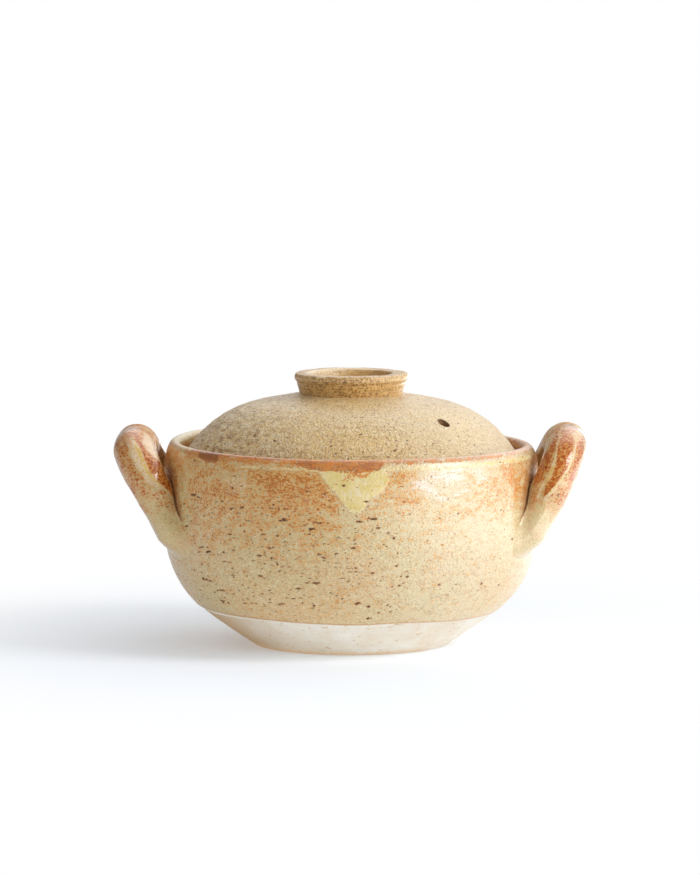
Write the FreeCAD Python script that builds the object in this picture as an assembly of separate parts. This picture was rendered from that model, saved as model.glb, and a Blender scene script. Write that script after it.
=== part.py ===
import FreeCAD, Part
import math
import os

os.makedirs("parts", exist_ok=True)

# A thrown stoneware casserole with two coil handles and a loose domed lid.
# Lengths are millimetres and angles are degrees. Z is the axis it was thrown on, the table is
# Z = 0, the front is -Y, and the handles stand at -X and +X.

# Bowl, outside
foot_radius = 53.0          # flat underside that the pot stands on
wall_slope = 35.0           # how steeply the wall leaves the table
belly_radius = 100.7        # widest part of the wall
belly_height = 78.0
rim_height = 108.0          # top of the lip
rim_draw_in = 6.7           # how far the top of the lip lies inside the belly
foot_pull = 0.49            # fullness of the wall's curve above the foot, share of belly height
belly_pull = 0.64           # fullness of the wall's curve below the belly, share of belly height
shoulder_pull = 0.30        # fullness above the belly, share of the height from belly to lip
lip_roll = 7.0              # roundness of the lip on the outside

# Bowl, inside
wall_thickness = 7.0
floor_thickness = 8.0
floor_radius = 34.0         # flat part of the floor
floor_pull = 0.50           # fullness of the curve from floor to wall, share of its width
haunch_pull = 0.68          # fullness of the same curve where it meets the wall, share of height

# Lip and the seat that carries the lid
lip_inner_width = 3.0       # from the top of the lip to its inner wall
lip_inner_drop = 3.0
seat_depth = 10.0           # below the top of the lip
seat_width = 8.0
seat_lip_height = 6.0       # upright face of the seat's inner edge
seat_lip_pull = 0.50        # fullness of the curve under the seat, share of its height

# Glaze coats
glaze_thickness = 0.5
glaze_line_height = 20.0    # the clay is bare below this
lining_stop = 1.5           # inner glaze ends this far below the seat
lid_glaze_stop = 2.0        # lid glaze ends this far above the seat

# Lid
lid_play = 2.5              # radial gap between lid and lip
lid_edge_height = 3.5       # upright edge of the lid
lid_thickness = 6.0
shoulder_radius = 58.0      # round shoulder of the dome
dome_edge_slope = 60.0
crown_slope = 11.0
steam_hole_radius = 3.05
steam_hole_inset = 21.0     # from the edge of the lid
steam_hole_angle = -44.0    # about Z from +X, so it lies at the right front

# Ring knob
knob_foot_radius = 27.3
knob_wall = 5.8
knob_height = 11.3
knob_flare = 2.9            # how far the lip of the ring stands out beyond its foot
knob_band = 4.7             # height of the thick band round the lip
knob_crease = 0.6           # depth of the crease under that band
knob_floor_gap = 0.5        # the dome is turned flat inside the ring, this far in from its wall

# Handles, each one coil bent into a loop that leans outward
handle_root_drop = 43.0     # middle of the roots, below the top of the lip
handle_crown_drop = 1.6     # middle of the crown, below the top of the lip
handle_gap = 2.5            # between the belly and the inside of the crown, measured outward
handle_half_span = 34.0     # from the middle of the loop to the middle of each leg
handle_bend_radius = 24.0
handle_crown_radius = 11.8  # thickness of the coil, as a radius
handle_bend_foot_radius = 10.4
handle_leg_radius = 9.9
handle_root_width = 14.0    # half the width of the smeared root, along the wall
handle_root_radius = 9.6    # half its thickness
handle_root_length = 20.0   # along the leg, from the wall to where the smear has faded
handle_root_tuck = 17.0     # how far the buried end of the coil is bent into the wall
handle_root_steps = 3       # sections along each root
handle_bend_steps = 4       # sections along each bend

coil_degree = 3             # of the curves along the coil, enough for a smooth skin

axis_point = FreeCAD.Vector(0, 0, 0)
axis_up = FreeCAD.Vector(0, 0, 1)

rim_radius = belly_radius - rim_draw_in
rim_inner_radius = rim_radius - lip_inner_width
seat_height = rim_height - seat_depth
seat_inner_radius = rim_inner_radius - seat_width

lid_radius = rim_inner_radius - lid_play
dome_edge_height = seat_height + lid_edge_height
shoulder_middle_radius = lid_radius - shoulder_radius * math.sin(math.radians(dome_edge_slope))
shoulder_middle_height = dome_edge_height - shoulder_radius * math.cos(math.radians(dome_edge_slope))
knob_inner_radius = knob_foot_radius - knob_wall

root_x = math.sqrt(belly_radius ** 2 - handle_half_span ** 2)
crown_x = belly_radius + handle_gap + handle_crown_radius
crown_rise = handle_root_drop - handle_crown_drop


def place(radius, height):
    """A point of an outline that is turned about Z."""
    return FreeCAD.Vector(radius, 0, height)


def line(start, end):
    return Part.LineSegment(start, end).toShape()


def arc(start, middle, end):
    return Part.Arc(start, middle, end).toShape()


def curve(start, start_pull, end_pull, end):
    """A smooth curve that leaves start towards start_pull and reaches end from end_pull."""
    bezier = Part.BezierCurve()
    bezier.setPoles([start, start_pull, end_pull, end])
    return bezier.toShape()


def turned(edges):
    """The solid that a closed outline makes when it is turned about Z."""
    return Part.Face(Part.Wire(edges)).revolve(axis_point, axis_up, 360)


def slab(radius, low, high):
    return Part.makeCylinder(radius, high - low, place(0, low), axis_up)


def bowl_block(skin):
    """The bowl's outside, filled up to the seat, with every glazed face set in by skin."""
    slope = math.radians(wall_slope)
    foot = place(foot_radius - skin, 0)
    foot_reach = foot_pull * belly_height
    above_foot = foot + place(foot_reach * math.cos(slope), foot_reach * math.sin(slope))
    belly = place(belly_radius - skin, belly_height)
    below_belly = belly - place(0, belly_pull * belly_height)
    lip = place(rim_radius, rim_height - skin)
    above_belly = belly + place(0, shoulder_pull * (rim_height - belly_height))
    outside_lip = lip + place(lip_roll, 0)
    inner_wall = place(rim_inner_radius + skin, rim_height - lip_inner_drop)
    inside_lip = lip - place((lip_inner_width - skin) / 2, 0)
    above_inner_wall = inner_wall + place(0, (lip_inner_drop - skin) / 2)
    seat_corner = place(rim_inner_radius + skin, seat_height)
    seat_middle = place(0, seat_height)
    return turned([
        line(axis_point, foot),
        curve(foot, above_foot, below_belly, belly),
        curve(belly, above_belly, outside_lip, lip),
        curve(lip, inside_lip, above_inner_wall, inner_wall),
        line(inner_wall, seat_corner),
        line(seat_corner, seat_middle),
        line(seat_middle, axis_point),
    ])


def cavity(skin):
    """The room inside the bowl up to the seat, with its walls set in by skin."""
    wall_radius = belly_radius - wall_thickness - skin
    floor_middle = place(0, floor_thickness + skin)
    floor_edge = place(floor_radius, floor_thickness + skin)
    wall = place(wall_radius, belly_height)
    beside_floor = floor_edge + place(floor_pull * (wall_radius - floor_radius), 0)
    below_wall = wall - place(0, haunch_pull * (belly_height - floor_thickness))
    seat_lip_base = place(seat_inner_radius - skin, seat_height - seat_lip_height)
    seat_lip_pull_length = seat_lip_pull * (seat_height - seat_lip_height - belly_height)
    above_wall = wall + place(0, seat_lip_pull_length)
    below_lip = seat_lip_base - place(0, seat_lip_pull_length)
    seat_lip_top = place(seat_inner_radius - skin, seat_height)
    seat_middle = place(0, seat_height)
    return turned([
        line(floor_middle, floor_edge),
        curve(floor_edge, beside_floor, below_wall, wall),
        curve(wall, above_wall, below_lip, seat_lip_base),
        line(seat_lip_base, seat_lip_top),
        line(seat_lip_top, seat_middle),
        line(seat_middle, floor_middle),
    ])


def shoulder_point(skin, slope):
    """Where the dome's shoulder, set in by skin, has this slope."""
    radius = shoulder_radius - skin
    return place(
        shoulder_middle_radius + radius * math.sin(math.radians(slope)),
        shoulder_middle_height + radius * math.cos(math.radians(slope)),
    )


def crown_height(skin, radius):
    """Height of the dome's crown, set in by skin, at this radius."""
    crown_edge = shoulder_point(skin, crown_slope)
    return crown_edge.z + (crown_edge.x - radius) * math.tan(math.radians(crown_slope))


def dome(skin, edge_slope, edge_points):
    """The dome down to edge_slope, set in by skin, closed through edge_points to the axis."""
    edge = shoulder_point(skin, edge_slope)
    shoulder = shoulder_point(skin, (edge_slope + crown_slope) / 2)
    crown_edge = shoulder_point(skin, crown_slope)
    flat_radius = knob_inner_radius - knob_floor_gap
    flat_edge = place(flat_radius, crown_height(skin, flat_radius))
    flat_middle = place(0, flat_edge.z)
    outline = [arc(edge, shoulder, crown_edge), line(crown_edge, flat_edge)]
    corners = [flat_edge, flat_middle] + edge_points + [edge]
    for start, end in zip(corners, corners[1:]):
        outline.append(line(start, end))
    return turned(outline)


def lid_block(skin):
    """The lid filled solid down to the seat, with every glazed face set in by skin."""
    edge_foot = place(shoulder_point(skin, dome_edge_slope).x, seat_height)
    return dome(skin, dome_edge_slope, [place(0, seat_height), edge_foot])


def lid_hollow():
    """The room under the dome."""
    rise = (seat_height - shoulder_middle_height) / (shoulder_radius - lid_thickness)
    hollow_edge_slope = math.degrees(math.acos(rise))
    return dome(lid_thickness, hollow_edge_slope, [place(0, seat_height)])


def steam_hole():
    from_axis = lid_radius - steam_hole_inset
    angle = math.radians(steam_hole_angle)
    middle = FreeCAD.Vector(from_axis * math.cos(angle), from_axis * math.sin(angle), seat_height)
    return Part.makeCylinder(steam_hole_radius, shoulder_radius, middle, axis_up)


def knob_ring(base_height):
    """The ring knob, filled down to base_height inside the dome."""
    foot_height = crown_height(0, knob_foot_radius)
    top_height = foot_height + knob_height
    lip_radius = knob_foot_radius + knob_flare
    band_height = top_height - knob_band
    round_height = top_height - knob_band / 2
    ridge_radius = (lip_radius + knob_inner_radius) / 2
    outer_foot = place(knob_foot_radius, foot_height)
    crease = place(lip_radius - 2 * knob_crease, band_height)
    band_foot = place(lip_radius - knob_crease, band_height)
    lip = place(lip_radius, round_height)
    ridge = place(ridge_radius, top_height)
    inner_lip = place(knob_inner_radius, round_height)
    inner_base = place(knob_inner_radius, base_height)
    outer_base = place(knob_foot_radius, base_height)
    return turned([
        line(outer_base, outer_foot),
        line(outer_foot, crease),
        line(crease, band_foot),
        line(band_foot, lip),
        curve(lip, place(lip_radius, top_height), place(lip_radius, top_height), ridge),
        curve(ridge, place(knob_inner_radius, top_height), place(knob_inner_radius, top_height), inner_lip),
        line(inner_lip, inner_base),
        line(inner_base, outer_base),
    ])


def coil_section(middle, width_way, thickness_way, half_width, half_thickness):
    """One oval section of a handle's coil."""
    along = width_way.cross(thickness_way)
    wide = width_way * half_width
    thick = thickness_way * half_thickness
    matrix = FreeCAD.Matrix(
        wide.x, thick.x, along.x, middle.x,
        wide.y, thick.y, along.y, middle.y,
        wide.z, thick.z, along.z, middle.z,
    )
    circle = Part.Wire(Part.Circle(axis_point, axis_up, 1).toShape())
    return circle.transformGeometry(matrix)


def coil_stations():
    """Half of the loop, from a root to the crown. Each station gives how far it lies across the
    loop, along its lean and tucked into the wall, the turn of the coil, and half the width and
    thickness there."""
    stations = []
    for step in range(handle_root_steps):
        along = handle_root_length * (2 * step / handle_root_steps - 1)
        smear = math.cos(math.radians(90 * max(along, 0) / handle_root_length)) ** 2
        tuck = handle_root_tuck * (min(along, 0) / handle_root_length) ** 2
        half_width = handle_leg_radius + smear * (handle_root_width - handle_leg_radius)
        half_thickness = handle_leg_radius + smear * (handle_root_radius - handle_leg_radius)
        stations.append((handle_half_span, along, tuck, 0, half_width, half_thickness))
    crown_along = math.hypot(crown_x - root_x, crown_rise)
    for step in range(handle_bend_steps + 1):
        share = step / handle_bend_steps
        turn = math.radians(90 * share)
        across = handle_half_span - handle_bend_radius * (1 - math.cos(turn))
        along = crown_along - handle_bend_radius * (1 - math.sin(turn))
        radius = handle_bend_foot_radius + share * (handle_crown_radius - handle_bend_foot_radius)
        stations.append((across, along, 0, turn, radius, radius))
    return stations


def coil():
    """The right handle's whole coil, with its roots running on inside the wall."""
    lean_way = FreeCAD.Vector(crown_x - root_x, 0, crown_rise).normalize()
    span_way = FreeCAD.Vector(0, 1, 0)
    thickness_way = lean_way.cross(span_way)
    root = FreeCAD.Vector(root_x, 0, rim_height - handle_root_drop)
    front_half = [(-1,) + station for station in coil_stations()]
    back_half = [(1,) + station for station in reversed(coil_stations())]
    sections = []
    for side, across, along, tuck, turn, half_width, half_thickness in front_half + back_half:
        middle = root + span_way * (side * across) + lean_way * along + thickness_way * tuck
        width_way = span_way * (side * math.cos(turn)) + lean_way * math.sin(turn)
        sections.append(coil_section(middle, width_way, thickness_way, half_width, half_thickness))
    as_solid, ruled, closed_ring = True, False, False
    return Part.makeLoft(sections, as_solid, ruled, closed_ring, coil_degree)


bowl_clay_block = bowl_block(glaze_thickness)
clay_bowl = bowl_clay_block.cut(cavity(0))

right_coil = coil()
left_coil = right_coil.mirror(axis_point, FreeCAD.Vector(1, 0, 0))
right_handle = right_coil.cut(bowl_clay_block)
left_handle = left_coil.cut(bowl_clay_block)

below_glaze_line = slab(2 * belly_radius, 0, glaze_line_height)
bowl_glaze = bowl_block(0).cut(bowl_clay_block).cut(below_glaze_line)
bowl_glaze = bowl_glaze.cut(right_coil).cut(left_coil)

above_lining = slab(2 * belly_radius, seat_height - lining_stop, 2 * rim_height)
bowl_lining = cavity(0).cut(cavity(glaze_thickness)).cut(above_lining)

lid_clay_block = lid_block(glaze_thickness)
lid_knob = knob_ring(seat_height).cut(lid_clay_block)
lid_dome = lid_clay_block.cut(lid_hollow()).cut(steam_hole())
below_lid_glaze = slab(2 * belly_radius, 0, seat_height + lid_glaze_stop)
lid_glaze = lid_block(0).cut(lid_clay_block).cut(below_lid_glaze)
lid_glaze = lid_glaze.cut(steam_hole()).cut(lid_knob)

pieces = {
    "clay_bowl": clay_bowl,
    "bowl_glaze": bowl_glaze,
    "bowl_lining": bowl_lining,
    "left_handle": left_handle,
    "right_handle": right_handle,
    "lid_dome": lid_dome,
    "lid_glaze": lid_glaze,
    "lid_knob": lid_knob,
}

for name, shape in pieces.items():
    box = shape.BoundBox
    print(name, "solids", len(shape.Solids), "valid", shape.isValid(), "volume", round(shape.Volume))
    print("   x", round(box.XMin, 2), round(box.XMax, 2), "y", round(box.YMin, 2), round(box.YMax, 2),
          "z", round(box.ZMin, 2), round(box.ZMax, 2))
    shape.exportStep("parts/" + name + ".step")
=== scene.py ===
import bpy
import math
import numpy as np
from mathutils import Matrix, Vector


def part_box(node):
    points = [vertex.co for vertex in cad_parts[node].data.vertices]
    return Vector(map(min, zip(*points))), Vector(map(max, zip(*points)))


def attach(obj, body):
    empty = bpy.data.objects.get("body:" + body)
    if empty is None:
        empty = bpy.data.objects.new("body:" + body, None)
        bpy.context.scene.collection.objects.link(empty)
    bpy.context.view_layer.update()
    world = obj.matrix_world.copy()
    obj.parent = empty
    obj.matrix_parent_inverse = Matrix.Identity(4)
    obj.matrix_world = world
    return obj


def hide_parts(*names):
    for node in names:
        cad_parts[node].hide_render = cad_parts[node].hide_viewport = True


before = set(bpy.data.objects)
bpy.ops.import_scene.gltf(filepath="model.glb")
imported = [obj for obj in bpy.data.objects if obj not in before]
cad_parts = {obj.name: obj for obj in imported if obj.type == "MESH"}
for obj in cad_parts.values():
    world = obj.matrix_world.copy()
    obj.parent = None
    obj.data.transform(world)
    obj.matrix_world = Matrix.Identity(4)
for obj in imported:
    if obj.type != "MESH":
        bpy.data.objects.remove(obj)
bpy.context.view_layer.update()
bpy.context.scene.view_settings.view_transform = "Standard"
mm = 0.001  # outlines are worked out in millimetres, meshes are in metres
fullTurn = 2 * math.pi
print("frame loaded:", ", ".join(sorted(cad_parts)))


# Shaping helpers: eased steps, fixed random bumps, outlines and turned surfaces

def ease(value, low, high):
    share = np.clip((value - low) / (high - low), 0, 1)
    return share * share * (3 - 2 * share)


def cellNumber(cell, seed):  # the same random number, 0 to 1, each time for one cell
    across, along, up = cell[..., 0], cell[..., 1], cell[..., 2]
    mixed = (across * 73856093) ^ (along * 19349663) ^ (up * 83492791) ^ (seed * 40503)
    mixed = ((mixed ^ (mixed >> 15)) * 2246822519) & 0xFFFFFFFF
    mixed = ((mixed ^ (mixed >> 13)) * 3266489917) & 0xFFFFFFFF
    return (mixed ^ (mixed >> 16)) / 0xFFFFFFFF


def lumps(points, size, seed):  # smooth bumps, -1 to 1, each about one size across
    scaled = points / np.array(size)
    cell = np.floor(scaled).astype(np.int64)
    part = scaled - cell
    part = part * part * (3 - 2 * part)
    total = np.zeros(points.shape[:-1])
    for corner in np.ndindex(2, 2, 2):
        share = np.where(corner, part, 1 - part).prod(axis=-1)
        total += share * cellNumber(cell + np.array(corner), seed)
    return total * 2 - 1


def bend(start, startPull, endPull, end, steps=160):
    share = np.linspace(0, 1, steps)[:, None]
    start, startPull, endPull, end = (np.array(p, float) for p in (start, startPull, endPull, end))
    rest = 1 - share
    return (rest ** 3 * start + 3 * rest ** 2 * share * startPull
            + 3 * rest * share ** 2 * endPull + share ** 3 * end)


def straight(start, end):
    return np.linspace(start, end, 40)


def arcAbout(middle, radius, fromAngle, toAngle):  # angles in degrees, from straight up towards the outside
    angle = np.radians(np.linspace(fromAngle, toAngle, 160))
    return np.stack([middle[0] + radius * np.sin(angle), middle[1] + radius * np.cos(angle)], 1)


def lengthAlong(outline):
    return np.concatenate([[0], np.cumsum(np.linalg.norm(np.diff(outline, axis=0), axis=1))])


def evenly(outline, pitch):  # the same outline with points about one pitch apart
    along = lengthAlong(outline)
    places = np.linspace(0, along[-1], max(2, int(round(along[-1] / pitch)) + 1))
    return np.stack([np.interp(places, along, outline[:, axis]) for axis in range(2)], 1)


def joined(*stretches):
    kept = [stretches[0]]
    for stretch in stretches[1:]:
        touching = np.linalg.norm(stretch[0] - kept[-1][-1]) < 1e-6
        kept.append(stretch[1:] if touching else stretch)
    return np.concatenate(kept)


def sideways(outline):  # unit vectors square to the outline, on its right-hand side
    ahead = np.gradient(outline, axis=0)
    ahead /= np.linalg.norm(ahead, axis=1, keepdims=True)
    return np.stack([ahead[:, 1], -ahead[:, 0]], 1)


def setIn(outline, depth):
    return outline - sideways(outline) * depth


def spun(outline, turns):  # the outline turned about Z: points, outward ways, azimuths from the front
    azimuth = np.arange(turns) * fullTurn / turns
    azimuth = np.where(azimuth > math.pi, azimuth - fullTurn, azimuth)
    way = np.stack([np.sin(azimuth), -np.cos(azimuth)], 1)[None]
    square = sideways(outline)
    shape = (len(outline), turns, 1)
    points = np.concatenate([outline[:, None, :1] * way, np.broadcast_to(outline[:, None, 1:], shape)], 2)
    outward = np.concatenate([square[:, None, :1] * way, np.broadcast_to(square[:, None, 1:], shape)], 2)
    return points, outward, azimuth


def gridFaces(rows, columns, looped=False):
    index = np.arange(rows * columns).reshape(rows, columns)
    if looped:
        index = np.vstack([index, index[:1]])
    right = np.roll(index, -1, axis=1)
    return np.stack([index[:-1], right[:-1], right[1:], index[1:]], 2).reshape(-1, 4)


def fan(ring, pole, flip):  # triangles from a ring of points to one point on the axis
    after = np.roll(ring, -1)
    first, second = (ring, after) if flip else (after, ring)
    return [[int(a), int(b), pole] for a, b in zip(first, second)]


def placed(name, data):  # a new object in the scene
    thing = bpy.data.objects.new(name, data)
    bpy.context.scene.collection.objects.link(thing)
    return thing


def makePiece(name, points, faces, paint, finish, body, stands):
    mesh = bpy.data.meshes.new(name)
    mesh.from_pydata((np.asarray(points) * mm).tolist(), [], faces)
    mesh.polygons.foreach_set("use_smooth", np.ones(len(mesh.polygons), bool))
    for key, values in paint.items():
        layer = mesh.attributes.new(key, "FLOAT", "POINT")
        layer.data.foreach_set("value", np.asarray(values, np.float32))
    mesh.materials.append(finish)
    mesh.update()
    piece = placed(name, mesh)
    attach(piece, body)
    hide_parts(stands)
    print("piece", name, "faces", len(mesh.polygons))


def turnedPiece(name, outline, turns, shape, finish, body, stands, looped=False, holed=None):
    points, outward, azimuth = spun(outline, turns)
    points, paint = shape(points, outward, azimuth, outline)
    onAxis = outline[:, 0] < 1e-6
    kept = np.flatnonzero(~onAxis)
    flat = points[kept].reshape(-1, 3)
    paint = {key: values[kept].ravel() for key, values in paint.items()}
    faces = gridFaces(len(kept), turns, looped)
    if holed:  # the rows of its upper and its lower face, where the steam hole goes through
        upper, lower = (np.array(rows) - kept[0] for rows in holed)
        flat, faces, paint = pierced(points[kept], faces, paint, upper, lower)
    else:
        faces = faces.tolist()
    for row, ring, flip in ((0, 0, False), (-1, len(kept) - 1, True)):
        if onAxis[row]:
            around = ring * turns + np.arange(turns)
            faces += fan(around, len(flat), flip)
            flat = np.vstack([flat, points[row].mean(axis=0)])
            paint = {key: np.append(values, values[around].mean()) for key, values in paint.items()}
    makePiece(name, flat, faces, paint, finish, body, stands)


outsideRows = {}  # how many rows of a turned piece's outline come first, on the side that it is named for


def firstRows(outline, key):
    return np.arange(len(outline)) < outsideRows[key]


# Marks in a turned surface: burnt-out grit pits and short cracks

def scatterMarks(settings, share, cracked):  # share(azimuth in degrees, height) is how likely a mark is kept
    chance = np.random.default_rng(settings["seed"])
    small, large = settings["halfHeight"]
    narrow, wide = settings["stretch"]
    marks = []
    while len(marks) < settings["count"]:
        azimuth, height = chance.uniform(-180, 180), chance.uniform(*settings["heights"])
        size, stretch, luck, dark = chance.random(4)
        depth, lean = chance.uniform(*settings["depth"]), chance.normal() * settings["lean"]
        if luck > share(azimuth, height):
            continue
        halfHeight = small + (large - small) * size ** 3
        halfLength = halfHeight * (narrow + (wide - narrow) * cracked(azimuth, height) * stretch ** 2)
        dark = 0.35 + 0.65 * dark ** 0.7
        marks.append((azimuth, height, halfLength, halfHeight, depth * dark, lean, dark))
        perDegree = math.radians(settings["radius"])
        for slide in chance.normal(0, 1.1, chance.integers(0, 3) if halfLength > 1.4 else 0):
            marks.append((azimuth + slide * halfLength / perDegree, height + chance.normal() * halfHeight,
                          halfLength * 0.55, halfHeight * 0.7, depth * 0.6, lean, dark * 0.8))
    return marks


def pressMarks(azimuth, radius, height, marks, fray):
    sunk = np.zeros((len(radius), len(azimuth)))
    stain = np.zeros_like(sunk)
    step = fullTurn / len(azimuth)
    for azimuthThere, heightThere, halfLength, halfHeight, depth, lean, dark in marks:
        middle = math.radians(azimuthThere)
        reach = 1.6 * (halfHeight + halfLength * abs(lean))
        rows = np.flatnonzero(np.abs(height - heightThere) < reach)
        if not len(rows):
            continue
        wide = 1.6 * halfLength / max(radius[rows].mean(), 1) / step
        first, last = math.floor(middle / step - wide), math.ceil(middle / step + wide)
        columns = np.arange(first, last + 1) % len(azimuth)
        across = (azimuth[columns] - middle + math.pi) % fullTurn - math.pi
        across = across[None] * radius[rows][:, None]
        up = (height[rows] - heightThere)[:, None] - across * lean
        window = np.ix_(rows, columns)
        distance = np.hypot(across / halfLength, up / halfHeight) + fray[window] * 0.5
        sunk[window] = np.maximum(sunk[window], depth * (1 - ease(distance, 0.2, 1.0)))
        stain[window] = np.maximum(stain[window], dark * (1 - ease(distance, 0.55, 1.35)))
    return sunk, stain


# Shader maths: a Link wraps a socket, and a Recipe builds one material

class Link:
    def __init__(self, recipe, socket):
        self.recipe = recipe
        self.socket = socket

    def math(self, operation, *values):
        return self.recipe.add("ShaderNodeMath", {"operation": operation}, dict(enumerate(values)))

    def __add__(self, other):
        return self.math("ADD", self, other)

    def __radd__(self, other):
        return self.math("ADD", other, self)

    def __sub__(self, other):
        return self.math("SUBTRACT", self, other)

    def __rsub__(self, other):
        return self.math("SUBTRACT", other, self)

    def __mul__(self, other):
        return self.math("MULTIPLY", self, other)

    def __rmul__(self, other):
        return self.math("MULTIPLY", other, self)

    def most(self, other):
        return self.math("MAXIMUM", self, other)

    def step(self, low, high):  # 0 below low, 1 above high, eased between
        return self.recipe.add("ShaderNodeMapRange", {"interpolation_type": "SMOOTHSTEP"},
                               {"Value": self, "From Min": low, "From Max": high})


class Recipe:
    def __init__(self, holder, end="ShaderNodeOutputMaterial", place="Object"):
        holder.use_nodes = True
        self.holder = holder
        self.tree = holder.node_tree
        self.tree.nodes.clear()
        self.out = self.tree.nodes.new(end)
        self.place = self.add("ShaderNodeTexCoord", {}, {}, place)

    def add(self, kind, settings, values, output=0):
        node = self.tree.nodes.new(kind)
        for key, value in settings.items():
            setattr(node, key, value)
        for key, value in values.items():
            self.feed(node.inputs[key], value)
        return Link(self, node.outputs[output])

    def feed(self, socket, value):
        if isinstance(value, Link):
            self.tree.links.new(value.socket, socket)
        elif socket.type == "RGBA" and len(value) == 3:
            socket.default_value = (*value, 1)
        else:
            socket.default_value = value

    def blend(self, share, first, second):  # first colour where share is 0, second where it is 1
        return self.add("ShaderNodeMix", {"data_type": "RGBA"}, {0: share, 6: first, 7: second}, 2)

    def between(self, share, first, second):
        return self.add("ShaderNodeMix", {}, {0: share, 2: first, 3: second})

    def paint(self, name):
        return self.add("ShaderNodeAttribute", {"attribute_name": name}, {}, "Fac")

    def grain(self, size, shift=0, detail=1, stretch=(1, 1, 1), warp=0.0):  # -2 to 2, spots of size mm
        moved = self.add("ShaderNodeVectorMath", {"operation": "MULTIPLY_ADD"},
                         {0: self.place, 1: stretch, 2: (0.37 * shift, 0.61 * shift, 0.23 * shift)})
        noise = self.add("ShaderNodeTexNoise", {}, {
            "Vector": moved, "Scale": 1 / (2 * size * mm), "Detail": detail,
            "Roughness": 0.6, "Distortion": warp})
        return (noise - 0.5) * 7

    def bump(self, height, depth):
        return self.add("ShaderNodeBump", {}, {"Height": height, "Distance": depth * mm, "Strength": 1.0})

    def along(self, axis):  # the object's own X, Y or Z
        return self.add("ShaderNodeSeparateXYZ", {}, {0: self.place}, axis)

    def finish(self, colour, roughness, normal, coat=0.0, coatRoughness=0.2, gloss=0.5):
        return self.end(self.add("ShaderNodeBsdfPrincipled", {}, {
            "Base Color": colour, "Roughness": roughness, "Normal": normal,
            "Coat Weight": coat, "Coat Roughness": coatRoughness, "Specular IOR Level": gloss}))

    def end(self, shader):
        self.feed(self.out.inputs["Surface"], shader)
        return self.holder


def srgb(*colour):  # an sRGB colour of 0 to 255, as the linear values that a shader takes
    return tuple(c / 255 / 12.92 if c <= 10 else ((c / 255 + 0.055) / 1.055) ** 2.4 for c in colour)


def palette(colours):
    return {name: srgb(*colour) for name, colour in colours.items()}


def material(name):
    return Recipe(bpy.data.materials.new(name))


# Bowl: outline, rim wobble and the finishes of its clay, ash coat and lining

bowlSize = {
    "bellyRadius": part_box("bowl_glaze")[1].y / mm,
    "rimHeight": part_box("clay_bowl")[1].z / mm + 0.5,
    "glazeLine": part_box("bowl_glaze")[0].z / mm,
    "floor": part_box("bowl_lining")[0].z / mm,
    "footRadius": 53.0,
    "bellyHeight": 78.0,
    "wallSlope": 35.0,
    "footPull": 0.49,
    "bellyPull": 0.64,
    "shoulderPull": 0.30,
    "rimDrawIn": 6.7,
    "lipRoll": 7.0,
    "lipWidth": 3.0,
    "seatDepth": 10.0,
    "seatWidth": 8.0,
    "seatLip": 6.0,
    "wall": 7.0,
    "floorRadius": 34.0,
    "coat": 0.5,
    "liningStop": 1.5,
    "rimTilt": 1.3,       # the left of the rim stands this much higher than the middle
    "rimTwist": 0.7,      # and the back left rises by this as well
    "haunchPull": 0.68,   # fullness of the inside where the floor turns up into the wall
    "footRound": 0.5,     # the flat underside turns up into the wall over these
    "footFlat": 0.9,
    "footSwell": 0.2,
    "clayTurns": 640,     # points round each piece
    "ashTurns": 1056,
    "liningTurns": 512,
    "clayPitch": 0.8,     # millimetres between points along each outline
    "clayInsidePitch": 2.0,
    "hiddenPitch": 2.5,
    "seatPitch": 1.0,
    "ashPitch": 0.6,
    "liningPitch": 1.0,
    "backPitch": 3.0,
}


def bowlLine():  # the outside from the foot to the seat, and the inside from there to the middle
    s = bowlSize
    belly, middle, rim = s["bellyRadius"], s["bellyHeight"], s["rimHeight"]
    slope = math.radians(s["wallSlope"])
    reach = s["footPull"] * middle
    lip = belly - s["rimDrawIn"]
    inner = lip - s["lipWidth"]
    seat = rim - s["seatDepth"]
    seatEdge = inner - s["seatWidth"]
    foot = s["footRadius"]
    wallPoint = (belly - s["wall"], middle)
    under = (seat - s["seatLip"] - middle) / 2
    lipFoot = rim - s["lipWidth"]
    wall = bend((foot, 0), (foot + reach * math.cos(slope), reach * math.sin(slope)),
                (belly, middle * (1 - s["bellyPull"])), (belly, middle), 400)
    shoulder = bend((belly, middle), (belly, middle + s["shoulderPull"] * (rim - middle)),
                    (lip + s["lipRoll"], rim), (lip, rim))
    half = s["lipWidth"] / 2
    lipIn = bend((lip, rim), (lip - half, rim), (inner, rim - half), (inner, lipFoot))
    outside = joined(wall, shoulder, lipIn, straight((inner, lipFoot), (inner, seat)))
    inside = joined(
        straight((seatEdge, seat), (seatEdge, seat - s["seatLip"])),
        bend((seatEdge, seat - s["seatLip"]), (seatEdge, seat - s["seatLip"] - under),
             (wallPoint[0], middle + under), wallPoint),
        bend(wallPoint, (wallPoint[0], middle - s["haunchPull"] * (middle - s["floor"])),
             ((s["floorRadius"] + wallPoint[0]) / 2, s["floor"]), (s["floorRadius"], s["floor"]), 300),
        straight((s["floorRadius"], s["floor"]), (0, s["floor"])))
    return outside, inside


def cutAt(outline, height):  # splits a rising outline where it first reaches this height
    index = int(np.argmax(outline[:, 1] >= height))
    before, after = outline[index - 1], outline[index]
    share = (height - before[1]) / (after[1] - before[1])
    there = before + (after - before) * share
    return np.vstack([outline[:index], there]), np.vstack([there, outline[index:]])


def rimWobble(points, azimuth):  # hand-thrown unevenness of the lip, which leaves the seat flat
    s = bowlSize
    lift = -s["rimTilt"] * np.sin(azimuth) + s["rimTwist"] * np.sin(2 * azimuth)
    points[..., 2] += lift * ease(points[..., 2], s["rimHeight"] - s["seatDepth"], s["rimHeight"])
    return points


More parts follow.
